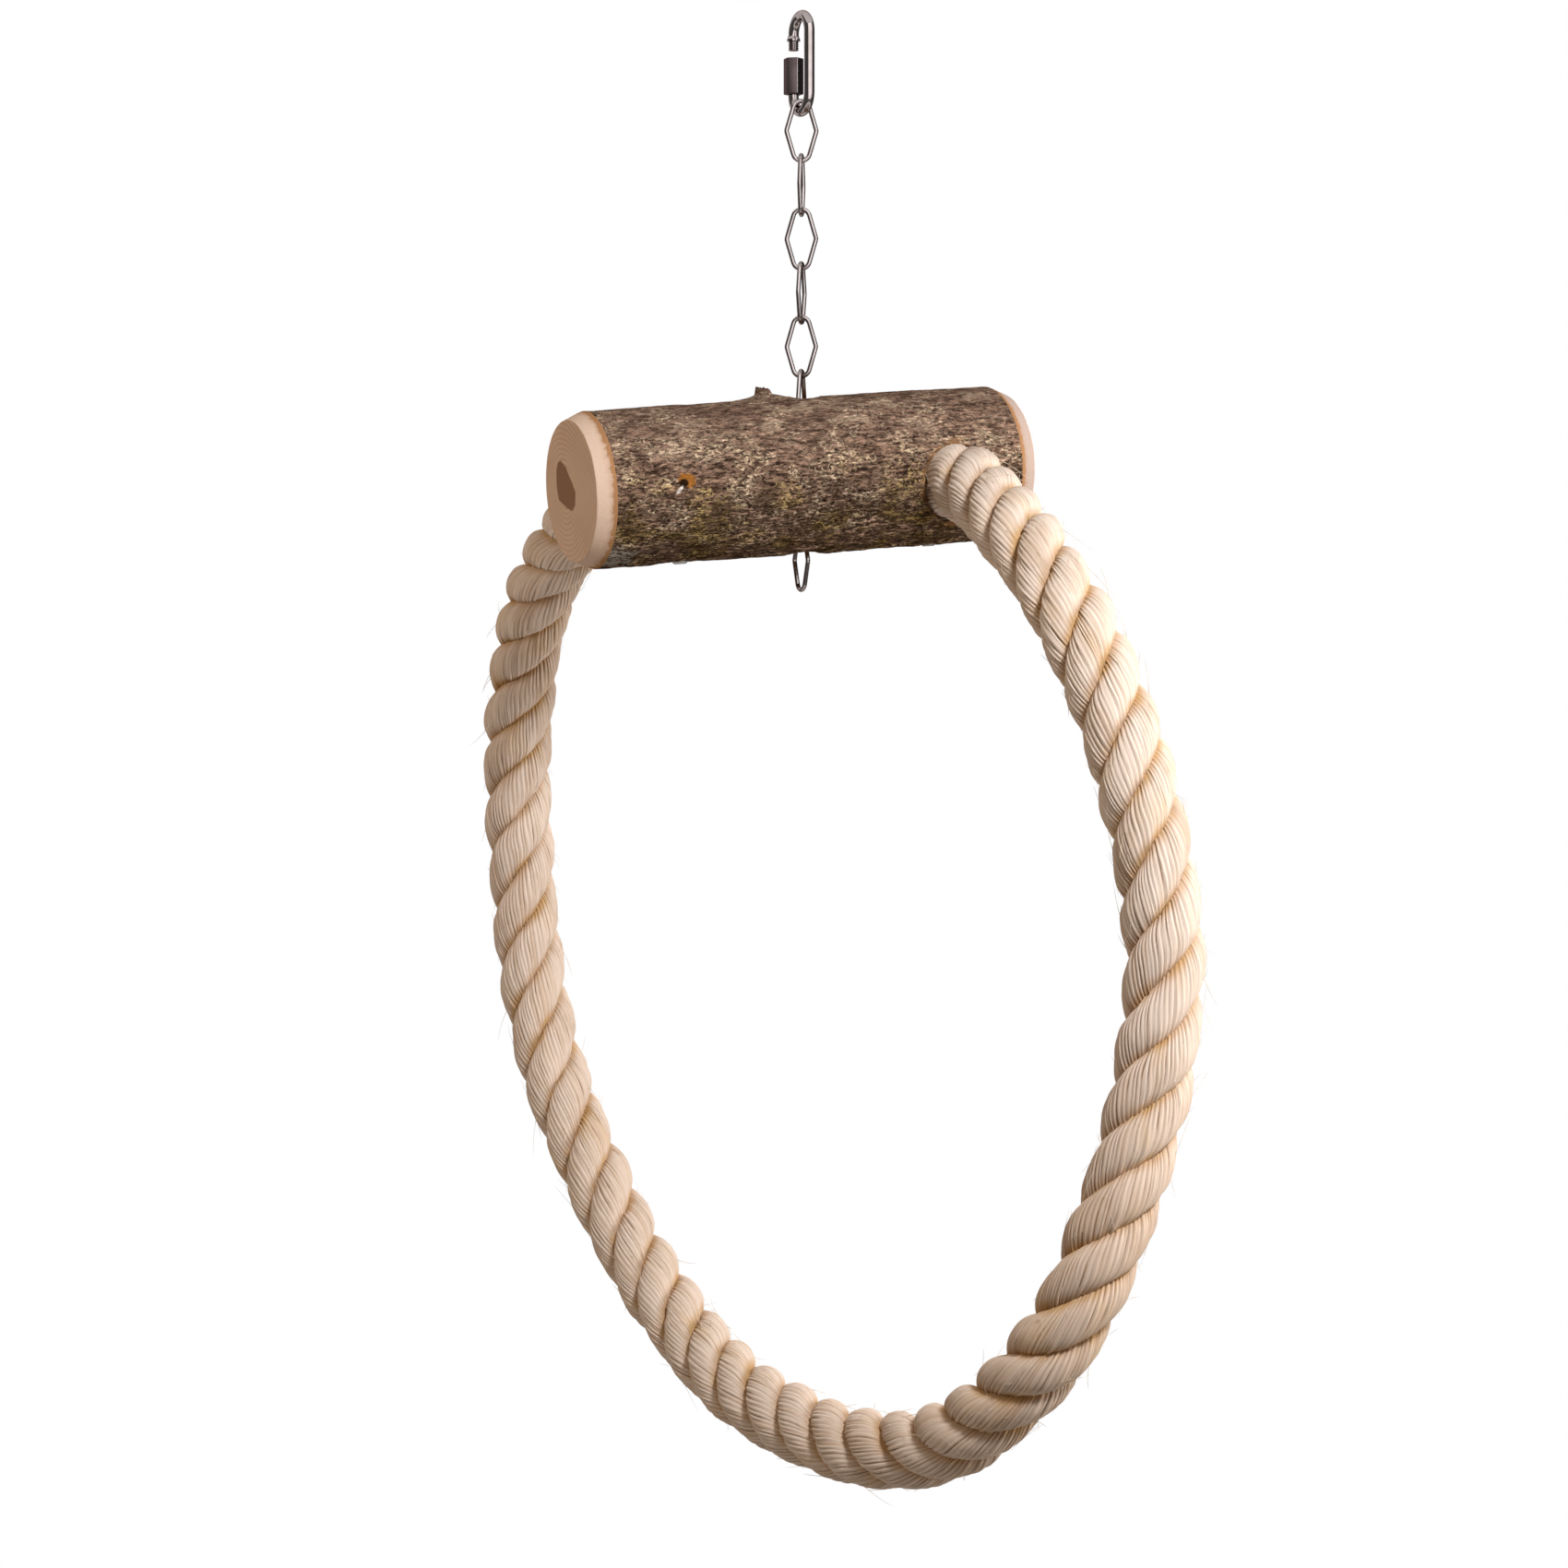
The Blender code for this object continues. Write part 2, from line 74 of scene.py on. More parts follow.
class Value:
    """An output socket of a node tree, whose arithmetic adds Math nodes."""

    def __init__(self, nodes: "NodeTree", socket: bpy.types.NodeSocket) -> None:
        """Keep the socket and the nodes that it belongs to."""
        self.nodes = nodes
        self.socket = socket

    def _math(self, operation: str, first: "Number", second: "Number" = 0.0) -> "Value":
        """Output of a new Math node."""
        return self.nodes.add("ShaderNodeMath", {"operation": operation}, {0: first, 1: second})

    def __add__(self, other: "Number") -> "Value":
        """Sum."""
        return self._math("ADD", self, other)

    def __sub__(self, other: "Number") -> "Value":
        """Difference."""
        return self._math("SUBTRACT", self, other)

    def __rsub__(self, other: "Number") -> "Value":
        """Difference, reflected."""
        return self._math("SUBTRACT", other, self)

    def __mul__(self, other: "Number") -> "Value":
        """Product."""
        return self._math("MULTIPLY", self, other)

    def __pow__(self, other: "Number") -> "Value":
        """Power."""
        return self._math("POWER", self, other)

    def __rpow__(self, other: "Number") -> "Value":
        """Power, reflected."""
        return self._math("POWER", other, self)

    def __abs__(self) -> "Value":
        """Size without sign."""
        return self._math("ABSOLUTE", self)

    __radd__ = __add__
    __rmul__ = __mul__

    def floor(self) -> "Value":
        """Whole part."""
        return self._math("FLOOR", self)

    def sine(self) -> "Value":
        """Sine of an angle in radians."""
        return self._math("SINE", self)

    def larger(self, other: "Number") -> "Value":
        """The larger of two."""
        return self._math("MAXIMUM", self, other)

    def apart(self, other: "Value", stretch: float = 1.0) -> "Value":
        """Distance from a spot, given two ways from it, with the first one's square stretched."""
        return (self * self * stretch + other * other) ** 0.5

    def between(self, low: float, high: float) -> "Value":
        """Smooth step from 0 at low to 1 at high. Low may be the larger, which turns the step round."""
        settings = {"interpolation_type": "SMOOTHSTEP", "clamp": True}
        return self.nodes.add("ShaderNodeMapRange", settings, {0: self, 1: low, 2: high, 3: 0.0, 4: 1.0})


Number = Union[float, Value]
Layer = Tuple[Number, Any]


class NodeTree:
    """A node tree whose nodes come from one method."""

    def __init__(self, tree: bpy.types.NodeTree) -> None:
        """Keep the tree."""
        self.tree = tree

    def add(
        self,
        kind: str,
        settings: Optional[Dict[str, Any]] = None,
        inputs: Optional[Dict[Union[str, int], Any]] = None,
        output: Union[str, int] = 0,
    ) -> Value:
        """Add a node.

        Args:
            kind: its type.
            settings: its properties, set first.
            inputs: values or links of its sockets.
            output: the socket to return.

        Returns:
            That output.
        """
        node = self.tree.nodes.new(kind)
        for name, setting in (settings or {}).items():
            setattr(node, name, setting)
        for key, given in (inputs or {}).items():
            self.feed(node.inputs[key], given)
        return Value(self, node.outputs[output])

    def feed(self, socket: bpy.types.NodeSocket, given: Any) -> None:
        """Link a socket or set its value.

        Args:
            socket: an input socket.
            given: a Value, a number, a colour or a vector.
        """
        if isinstance(given, Value):
            self.tree.links.new(given.socket, socket)
        elif socket.type == "RGBA":
            socket.default_value = (*given, 1.0)
        else:
            socket.default_value = given


class FinishNodes(NodeTree):
    """The nodes of a material with a Principled shader."""

    def __init__(self, name: str) -> None:
        """Start a material.

        Args:
            name: the material's name.
        """
        self.material = bpy.data.materials.new(name)
        self.material.use_nodes = True
        super().__init__(self.material.node_tree)

    def object_place(self) -> Value:
        """Object coordinates."""
        return self.add("ShaderNodeTexCoord", output="Object")

    def log_place(self) -> Value:
        """Object coordinates in the log's own frame."""
        moved = self.vector_math("SUBTRACT", self.object_place(), (0.0, 0.0, LOG_AXIS_HEIGHT))
        return self.add("ShaderNodeMapping", {}, {"Vector": moved, "Rotation": (0.0, LOG_TILT, 0.0)})

    def vector_math(self, operation: str, first: Value, second: Place) -> Value:
        """A vector from a link and a fixed vector."""
        return self.add("ShaderNodeVectorMath", {"operation": operation}, {0: first, 1: second})

    def parts(self, vector: Value) -> Tuple[Value, Value, Value]:
        """X, Y and Z of a vector."""
        node = self.add("ShaderNodeSeparateXYZ", {}, {0: vector}).socket.node
        return tuple(Value(self, output) for output in node.outputs)

    def noise(
        self, vector: Value, scale: float, detail: float = 2.0, rough: float = 0.5, twist: float = 0.0
    ) -> Value:
        """Soft noise around one half, with its fineness per metre, finer layers and their strength."""
        fineness = {"Scale": scale, "Detail": detail, "Roughness": rough, "Distortion": twist}
        return self.add("ShaderNodeTexNoise", {}, {"Vector": vector, **fineness})

    def drawn_noise(self, vector: Value, scales: Place, *fineness: float) -> Value:
        """Noise that is drawn out along an axis by a scale below 1."""
        return self.noise(self.vector_math("MULTIPLY", vector, scales), *fineness)

    def map_noise(self, x: Number, y: Number, z: Number, *fineness: float) -> Value:
        """Noise at a place that is put together from three values."""
        return self.noise(self.add("ShaderNodeCombineXYZ", {}, {0: x, 1: y, 2: z}), 1.0, *fineness)

    def mix(self, share: Number, first: Any, second: Any) -> Value:
        """A colour between two, from the first at a share of 0 to the second at 1."""
        settings = {"data_type": "RGBA", "clamp_factor": True}
        return self.add("ShaderNodeMix", settings, {0: share, 6: first, 7: second}, 2)

    def layered(self, colour: Value, *layers: Layer) -> Value:
        """Lay colours over a colour.

        Args:
            colour: the lowest colour.
            layers: share and colour of each layer, from below.

        Returns:
            The colour that shows.
        """
        for share, layer in layers:
            colour = self.mix(share, colour, layer)
        return colour

    def bump(self, height: Value, distance: float, strength: float = 1.0) -> Value:
        """A normal from a height within 0 and 1, where 1 is a distance in metres."""
        return self.add("ShaderNodeBump", {}, {"Height": height, "Distance": distance, "Strength": strength})

    def finish(self, inputs: Dict[str, Any]) -> bpy.types.Material:
        """Feed the Principled shader.

        Args:
            inputs: values or links, by socket.

        Returns:
            The material.
        """
        shader = self.tree.nodes["Principled BSDF"]
        for name, given in inputs.items():
            self.feed(shader.inputs[name], given)
        return self.material


@dataclass(frozen=True)
class SteelFinish:
    """Drawn or plated steel, with faint streaks and stains."""

    name: str
    bright: Colour
    stained: Colour
    edge: Colour
    roughness: float

    def make(self) -> bpy.types.Material:
        """Make the material.

        Returns:
            The material.
        """
        nodes = FinishNodes(self.name)
        place = nodes.object_place()
        grain = nodes.drawn_noise(place, (1.0, 1.0, 0.2), 300.0)
        stain = nodes.noise(place, 110.0).between(0.42, 0.70)
        colour = nodes.mix(stain * 0.6 + grain * 0.1, self.bright, self.stained)
        roughness = stain * 0.05 + self.roughness
        fixed = {"Metallic": 1.0, "Specular Tint": self.edge}
        return nodes.finish({**fixed, "Base Color": colour, "Roughness": roughness})


WIRE_STEEL = SteelFinish("stainless_wire", (0.43, 0.38, 0.37), (0.28, 0.24, 0.23), (0.42, 0.37, 0.36), 0.15)
BAR_STEEL = SteelFinish(
    "stainless_bar", (0.44, 0.385, 0.375), (0.30, 0.255, 0.245), (0.42, 0.37, 0.36), 0.12
)
NUT_STEEL = SteelFinish(
    "nut_steel", (0.112, 0.082, 0.082), (0.080, 0.057, 0.057), (0.5, 0.45, 0.45), 0.30
)
# painted highlight: bright steel for the nut's upright edges
EDGE_HIGHLIGHT_STEEL = SteelFinish("painted_edge_highlight", (0.55, 0.52, 0.51), (0.38, 0.35, 0.34), (0.8, 0.8, 0.8), 0.16)
ZINC_PLATE = SteelFinish("zinc_plate", (0.42, 0.41, 0.39), (0.24, 0.215, 0.18), (0.6, 0.6, 0.6), 0.36)


@dataclass(frozen=True)
class SisalFinish:
    """Yarns of pale sisal, read along a strand's own map, with painted shade down in the grooves and in the
    slits between yarns.
    """

    yarns: int
    crest: Colour = (0.790, 0.655, 0.560)
    flank: Colour = (0.63, 0.445, 0.305)
    # painted shade for the grooves between strands and the slits between yarns
    groove_shade: Colour = (0.27, 0.150, 0.078)
    gold: Colour = (0.56, 0.345, 0.155)
    straw: Colour = (0.70, 0.49, 0.28)
    bleached: Colour = (0.80, 0.69, 0.57)
    # real browner stretches of sisal, also used for the painted shade of one stretch
    tanned_and_shade: Colour = (0.50, 0.345, 0.225)

    def make(self) -> bpy.types.Material:
        """Make the material.

        Returns:
            The material.
        """
        nodes = FinishNodes("sisal")
        around, along, _ = nodes.parts(nodes.add("ShaderNodeUVMap", {"uv_map": SisalRope.MAP}))
        depth, slit = (
            nodes.add("ShaderNodeAttribute", {"attribute_name": name}, {}, "Fac")
            for name in (SisalRope.DEPTH, SisalRope.SLIT)
        )
        yarn = around * float(self.yarns)
        strand = nodes.map_noise(yarn * 3.0, along * 22.0, 0.0, 4.0, 0.6)
        tint = nodes.map_noise(yarn.floor() * 3.7, along * 9.0, 0.0)
        blotch = nodes.map_noise(around * 3.0, along * 16.0, 5.0, 3.0, 0.6)
        stretch = nodes.map_noise(around * 2.0, along * 11.0, 9.0, 4.0, 0.7)
        opened = nodes.map_noise(yarn * 0.9, along * 42.0, 3.0)
        # painted shade: a stretch of the rope low on the right is made browner
        painted_shade_stretch = along.between(0.36, 0.46) * along.between(0.66, 0.58)
        colour = nodes.layered(
            # painted shade: the flanks darken from the crest down towards the grooves
            nodes.mix(depth.between(0.20, 0.70), self.flank, self.crest),
            (stretch.between(0.49, 0.68) * 0.5, self.tanned_and_shade),
            (painted_shade_stretch * 0.30, self.tanned_and_shade),
            (blotch.between(0.52, 0.74) * 0.6, self.straw),
            (tint.between(0.50, 0.74) * 0.5, self.flank),
            (strand.between(0.55, 0.78) * 0.45, self.gold),
            (strand.between(0.44, 0.24) * 0.35, self.bleached),
            # painted shade in the slits between yarns, stronger where they stand open
            (slit.between(0.10, 0.90) * (0.22 + opened.between(0.40, 0.62) * 0.78), self.groove_shade),
            (depth.between(0.75, 0.15) * blotch.between(0.44, 0.62), self.gold),
            # painted shade deep in the grooves between strands
            (depth.between(0.18, 0.0) * 0.85, self.groove_shade),
        )
        fixed = {"Sheen Weight": 0.06, "Sheen Roughness": 0.4, "Specular IOR Level": 0.0}
        varying = {"Roughness": 0.82 - strand * 0.2, "Normal": nodes.bump(strand, 0.0006, 0.8)}
        return nodes.finish({**fixed, **varying, "Base Color": colour})


@dataclass(frozen=True)
class FibreFinish:
    """Single loose sisal hairs."""

    light: Colour = (0.86, 0.76, 0.62)
    dark: Colour = (0.66, 0.50, 0.34)

    def make(self) -> bpy.types.Material:
        """Make the material.

        Returns:
            The material.
        """
        nodes = FinishNodes("sisal_hair")
        tone = nodes.noise(nodes.object_place(), 220.0, 1.0).between(0.35, 0.65)
        return nodes.finish({"Roughness": 0.6, "Base Color": nodes.mix(tone, self.light, self.dark)})


@dataclass(frozen=True)
class BarkSpot:
    """A spot of the bark in the log's own frame, with the noises that fray the marks on it."""

    nodes: FinishNodes
    place: Value
    x: Value
    y: Value
    z: Value
    patch: Value
    speck: Value


@dataclass(frozen=True)
class BarkFinish:
    """Mottled grey-brown bark with flecks of lichen, a torn rim round the rope holes, and painted shade on
    its underside.
    """

    hole_radius: float
    knot: Place
    ash_place: Place = (-0.105, -0.018, -0.032)
    stub_from: float = 0.0395
    stub_to: float = 0.0415
    dark: Colour = (0.060, 0.034, 0.025)
    brown: Colour = (0.365, 0.226, 0.158)
    beige: Colour = (0.46, 0.33, 0.235)
    cream: Colour = (0.86, 0.67, 0.46)
    weathered: Colour = (0.240, 0.152, 0.115)
    crack: Colour = (0.018, 0.010, 0.006)
    # painted shade of the log's underside, laid in its real streaks
    underside_shade: Colour = (0.040, 0.023, 0.011)
    olive: Colour = (0.230, 0.155, 0.052)
    gold: Colour = (0.66, 0.46, 0.19)
    torn: Colour = (0.33, 0.17, 0.075)
    ash: Colour = (0.50, 0.455, 0.40)
    stub: Colour = (0.150, 0.082, 0.056)
    wound_rim: Colour = (0.46, 0.185, 0.040)
    wound_hole: Colour = (0.030, 0.015, 0.008)
    wound_spot: Colour = (0.05, 0.022, 0.018)
    wound_chip: Colour = (0.78, 0.70, 0.64)

    def make(self) -> bpy.types.Material:
        """Make the material.

        Returns:
            The material.
        """
        nodes = FinishNodes("bark")
        place = nodes.log_place()
        x, y, z = nodes.parts(place)
        cloud = nodes.drawn_noise(place, (0.7, 1.0, 1.0), 60.0, 3.0, 0.6)
        cluster = nodes.drawn_noise(place, (0.7, 1.0, 1.0), 85.0, 3.0, 0.6, 0.5)
        patch = nodes.drawn_noise(place, (0.45, 1.0, 1.0), 130.0, 4.0, 0.65)
        mottle = nodes.drawn_noise(place, (0.28, 1.0, 1.0), 540.0, 4.0, 0.7, 0.4)
        speck = nodes.drawn_noise(place, (0.50, 1.0, 1.0), 900.0, 2.0, 0.6, 0.8)
        loop = nodes.drawn_noise(place, (0.6, 1.0, 1.0), 300.0, 2.0, 0.5, 1.2)
        streak = nodes.drawn_noise(place, (0.22, 1.0, 1.0), 700.0, 5.0, 0.7, 0.3)
        top = z.between(0.000, 0.026)
        # the underside, where painted shade darkens the bark
        below = (z + (cloud - 0.5) * 0.03).between(0.004, -0.022)
        stain = cloud.between(0.45, 0.60) * z.between(0.022, -0.010)
        lower = nodes.mix(streak.between(0.38, 0.62), self.underside_shade, nodes.mix(stain, self.brown, self.olive))
        from_rim = x - (ROPE_HOLE_OFFSET - self.hole_radius - 0.004)
        beside = from_rim.apart(z + ROPE_HOLE_DROP) + (cloud - 0.5) * 0.02
        beside_hole = beside.between(0.015, 0.007) * y.between(0.0, -0.01)
        fleck = nodes.mix(stain.larger(beside_hole * 0.9), self.cream, self.gold)
        grown = cluster.between(0.46, 0.58).larger(beside_hole)
        curl = abs(loop - 0.5).between(0.040, 0.014) * grown
        spot = speck.between(0.555, 0.64) * (grown * 0.75 + 0.22) * (1.0 - top * 0.4)
        line = abs(streak - 0.5).between(0.040, 0.010) * (0.35 + below * 0.6)
        here = BarkSpot(nodes, place, x, y, z, patch, speck)
        colour = nodes.layered(
            nodes.mix(mottle.between(0.40, 0.58), self.dark, self.brown),
            (top * 0.3, self.weathered),
            # painted shade: the underside turns dark and streaked, with real olive stains in it
            (below * 0.85, lower),
            (patch.between(0.53, 0.63) * (top * 0.75 + 0.12), self.beige),
            (curl * (0.9 - top * 0.5) * (1.0 - below * 0.5), fleck),
            (spot, fleck),
            (speck.between(0.44, 0.35) * (0.85 - top * 0.35), self.crack),
            (line * 0.9, self.crack),
            (z.between(self.stub_from, self.stub_to) * 0.8, self.stub),
            *self._rims(here),
            *self._wound(here),
            self._ash_patch(here),
        )
        relief = mottle * 0.45 + speck * 0.25 + streak * below * 0.5 - line * 0.3
        fixed = {"Roughness": 0.88, "Specular IOR Level": 0.0}
        return nodes.finish({**fixed, "Base Color": colour, "Normal": nodes.bump(relief, 0.0026)})

    def _rims(self, here: BarkSpot) -> List[Layer]:
        """Torn inner bark round the two rope holes.

        Args:
            here: a spot of the bark.

        Returns:
            A layer for each hole.
        """
        layers = []
        for side in (1.0, -1.0):
            far = (here.x - side * ROPE_HOLE_OFFSET).apart(here.z + ROPE_HOLE_DROP)
            ragged = far + (here.patch - 0.5) * 0.016 + (here.speck - 0.5) * 0.004
            near = ragged.between(self.hole_radius + 0.0015, self.hole_radius + 0.0003)
            facing = (here.y * -side).between(0.0, 0.01)
            layers.append((near * facing * (0.25 + here.speck), self.torn))
        return layers

    def _wound(self, here: BarkSpot) -> List[Layer]:
        """A small wound on the front.

        Args:
            here: a spot of the bark.

        Returns:
            Layers for its orange rim, its dark hole, a dark spot beside it and a pale chip.
        """
        front = here.y.between(0.0, -0.01)
        dx = here.x - self.knot[0]
        dz = here.z - self.knot[2]
        wobble = here.nodes.noise(here.place, 420.0, 3.0) - 0.5
        rim = dx.apart(dz, 0.6) + wobble * 0.0050
        open_side = (dx * 0.7 + dz + wobble * 0.002).between(-0.0030, -0.0012)
        hole = (dx + 0.0012).apart(dz + 0.0005, 0.5) + wobble * 0.001
        spot = (dx + 0.0072).apart(dz + 0.0056) + wobble * 0.001
        chip_x = dx + 0.0036
        chip_z = dz + 0.0036
        chip = ((chip_x - chip_z) ** 2.0 * 1.4 + (chip_x + chip_z) ** 2.0 * 0.16) ** 0.5 + wobble * 0.0012
        return [
            (rim.between(0.0040, 0.0028) * open_side * front, self.wound_rim),
            (hole.between(0.0022, 0.0014) * front, self.wound_hole),
            (spot.between(0.0018, 0.0009) * front * 0.8, self.wound_spot),
            (chip.between(0.0017, 0.0011) * front, self.wound_chip),
        ]

    def _ash_patch(self, here: BarkSpot) -> Layer:
        """Pale lichen low on the front of the left end.

        Args:
            here: a spot of the bark.

        Returns:
            Its layer.
        """
        dx, dy, dz = (part - middle for part, middle in zip((here.x, here.y, here.z), self.ash_place))
        far = (dx * dx * 0.5 + dy * dy + dz * dz) ** 0.5 + (here.patch - 0.5) * 0.03
        return far.between(0.011, 0.006) * here.speck.between(0.36, 0.56) * 0.8, self.ash


@dataclass(frozen=True)
class SawnWoodFinish:
    """Sawn and bevelled ends of the log: rings round an off-centre heart, a thin line of inner bark, and
    painted shade on the right bevel.
    """

    left_end: float
    right_end: float
    bevel: float
    heart: Tuple[Tuple[float, float], ...]
    face: Colour = (0.66, 0.475, 0.357)
    cut: Colour = (0.71, 0.53, 0.415)
    # painted shade: a darker copy of the cut colour, for the right bevel under the strong side lamp
    painted_shade_cut: Colour = (0.485, 0.375, 0.325)
    ring: Colour = (0.52, 0.345, 0.235)
    heartwood: Colour = (0.250, 0.136, 0.082)
    inner_bark: Colour = (0.38, 0.185, 0.075)

    def make(self) -> bpy.types.Material:
        """Make the material.

        Returns:
            The material.
        """
        nodes = FinishNodes("sawn_wood")
        place = nodes.log_place()
        x, y, z = nodes.parts(place)
        pith_y, pith_z = (sum(way) / len(way) for way in zip(*self.heart))
        flow = nodes.noise(place, 45.0, 3.0) - 0.5
        pith = (y - pith_y).apart(z - pith_z) + flow * 0.004
        rings = ((pith * 2600.0).sine() * 0.5 + 0.5) ** 3.0
        fibre = nodes.drawn_noise(place, (1.0, 0.25, 1.0), 1400.0, 3.0)
        tone = rings * 0.62 + fibre.between(0.45, 0.8) * 0.18 + flow.between(-0.10, 0.15) * 0.25
        heart = self._outside_heart(y, z) + flow * 0.004
        sawn = nodes.layered(
            nodes.mix(tone, self.face, self.ring),
            (heart.between(0.0005, -0.0003) * 0.92, self.heartwood),
        )
        past_left = (x * -1.0).between(self.left_end - 0.0006, self.left_end - 0.0001)
        past_right = x.between(self.right_end - 0.0006, self.right_end - 0.0001)
        inset = (x * -1.0 - (self.left_end - self.bevel)).larger(x - (self.right_end - self.bevel))
        ragged = inset + (nodes.noise(place, 260.0, 4.0, 0.7) - 0.5) * 0.0050
        rim = (ragged + (fibre - 0.5) * 0.001).between(0.0024, 0.0012)
        colour = nodes.layered(
            # painted shade: the right end's bevel takes the darker copy of the cut colour
            nodes.mix(x.between(0.0, 0.05), self.cut, self.painted_shade_cut),
            (fibre.between(0.4, 0.8) * 0.25, self.ring),
            (past_left.larger(past_right), sawn),
            (ragged.between(0.0046, 0.0016) * 0.35, self.inner_bark),
            (rim * 0.9, self.inner_bark),
        )
        saw = nodes.drawn_noise(place, (0.2, 0.2, 1.0), 1500.0)
        normal = nodes.bump(saw * 0.4 + fibre * 0.6, 0.0003, 0.5)
        fixed = {"Roughness": 0.75, "Specular IOR Level": 0.0}
        return nodes.finish({**fixed, "Base Color": colour, "Normal": normal})

    def _outside_heart(self, y: Value, z: Value) -> Value:
        """Distance from the straight-sided heart.

        Args:
            y: place across the log.
            z: height in the log's frame.

        Returns:
            Metres outside the heart's nearest side, less than 0 inside.
        """
        farthest: Optional[Value] = None
        for first, second in zip(self.heart, self.heart[1:] + self.heart[:1]):
            along = Vector((second[0] - first[0], second[1] - first[1])).normalized()
            outwards = Vector((along.y, -along.x))
            side = y * outwards.x + z * outwards.y - outwards.dot(first)
            farthest = side if farthest is None else farthest.larger(side)
        return farthest


@dataclass(frozen=True)
class FloorFinish:
    """Pale floor with faint clouds."""

    light: Colour = (0.82, 0.82, 0.82)
    dark: Colour = (0.78, 0.78, 0.78)

    def make(self) -> bpy.types.Material:
        """Make the material.

        Returns:
            The material.
        """
        nodes = FinishNodes("pale_floor")
        tone = nodes.noise(nodes.object_place(), 6.0) * 0.2
        return nodes.finish({"Roughness": 0.9, "Base Color": nodes.mix(tone, self.light, self.dark)})


@dataclass(frozen=True)
class WallFinish:
    """Dim grey glow of a studio's unlit part."""

    light: Colour = (0.13, 0.13, 0.13)
    dark: Colour = (0.091, 0.091, 0.091)

    def make(self) -> bpy.types.Material:
        """Make the material.

        Returns:
            The material.
        """
        nodes = FinishNodes("grey_wall")
        tone = nodes.noise(nodes.object_place(), 0.8).between(0.4, 0.6)
        fixed = {"Base Color": (0.0, 0.0, 0.0), "Specular IOR Level": 0.0, "Emission Strength": 1.0}
        return nodes.finish({**fixed, "Emission Color": nodes.mix(tone, self.light, self.dark)})


class Workbench:
    """Modelling steps with Blender's own operators."""

    MERGE = 0.00002

    @staticmethod
    def clear() -> None:
        """Leave nothing selected and no edit open."""
        active = bpy.context.view_layer.objects.active
        if active is not None and active.mode != "OBJECT":
            bpy.ops.object.mode_set(mode="OBJECT")
        bpy.ops.object.select_all(action="DESELECT")

    @classmethod
    def pick(cls, piece: bpy.types.Object) -> None:
        """Select one piece only.

        Args:
            piece: the object.
        """
        cls.clear()
        bpy.context.view_layer.objects.active = piece
        piece.select_set(True)

    @staticmethod
    def edit() -> None:
        """Open the active piece in edit mode, with all of it selected."""
        bpy.ops.object.mode_set(mode="EDIT")
        bpy.ops.mesh.select_all(action="SELECT")

    @classmethod
    def add(cls, name: str, primitive: Callable[..., Any], **sizes: Any) -> bpy.types.Object:
        """Add a primitive, with its place in its mesh.

        Args:
            name: the piece's name.
            primitive: the operator that adds it.
            sizes: what the operator takes.

        Returns:
            The object, at the origin.
        """
        cls.clear()
        primitive(**sizes)
        piece = bpy.context.object
        piece.name = name
        piece.data.name = name
        bpy.ops.object.transform_apply(location=True, rotation=True, scale=True)
        return piece

    @classmethod
    def rod(cls, name: str, radius: float, low: Vector, high: Vector, sides: int) -> bpy.types.Object:
        """A round rod between two points.

        Args:
            name: its name.
            radius: its radius.
            low: centre of one end.
            high: centre of the other end.
            sides: number of sides.

        Returns:
            The object, at the origin.
        """
        span = high - low
        return cls.add(
            name,
            bpy.ops.mesh.primitive_cylinder_add,
            vertices=sides,
            radius=radius,
            depth=span.length,
            location=(low + high) / 2,
            rotation=span.to_track_quat("Z", "Y").to_euler(),
        )

    @staticmethod
    def link(mesh: bpy.types.Mesh) -> bpy.types.Object:
        """Put a mesh into the scene.

        Args:
            mesh: the mesh, whose name the object takes.

        Returns:
            The object.
        """
        piece = bpy.data.objects.new(mesh.name, mesh)
        bpy.context.scene.collection.objects.link(piece)
        return piece

    @classmethod
    def from_points(cls, name: str, points: List[Any], faces: List[List[int]]) -> bpy.types.Object:
        """A smooth piece from points and faces.

        Args:
            name: its name.
            points: places of its points.
            faces: numbers of each face's points.

        Returns:
            The object.
        """
        mesh = bpy.data.meshes.new(name)
        mesh.from_pydata(points, [], faces)
        mesh.polygons.foreach_set("use_smooth", [True] * len(faces))
        return cls.link(mesh)

    @classmethod
    def apply(cls, piece: bpy.types.Object, modifier: bpy.types.Modifier) -> None:
        """Apply a modifier of a piece."""
        cls.pick(piece)
        bpy.ops.object.modifier_apply(modifier=modifier.name)

    @classmethod
    def cut(cls, piece: bpy.types.Object, cutter: bpy.types.Object) -> None:
        """Cut a piece with another, which is used up.

        Args:
            piece: the object to cut.
            cutter: the object to cut with.
        """
        boolean = piece.modifiers.new("cut", "BOOLEAN")
        boolean.operation = "DIFFERENCE"
        boolean.solver = "EXACT"
        boolean.material_mode = "TRANSFER"
        boolean.object = cutter
        cls.apply(piece, boolean)
        bpy.data.objects.remove(cutter, do_unlink=True)

    @classmethod
    def smooth(cls, piece: bpy.types.Object, angle: float) -> None:
        """Shade a piece smooth, but for edges that are sharper than an angle in degrees."""
        cls.pick(piece)
        bpy.ops.object.shade_smooth_by_angle(angle=math.radians(angle))

    @classmethod
    def clean(cls, piece: bpy.types.Object, angle: float) -> None:
        """Merge doubles, point faces outwards and shade smooth.

        Args:
            piece: the object.
            angle: degrees past which an edge stays sharp.
        """
        cls.pick(piece)
        cls.edit()
        bpy.ops.mesh.remove_doubles(threshold=cls.MERGE)
        bpy.ops.mesh.normals_make_consistent(inside=False)
        cls.smooth(piece, angle)


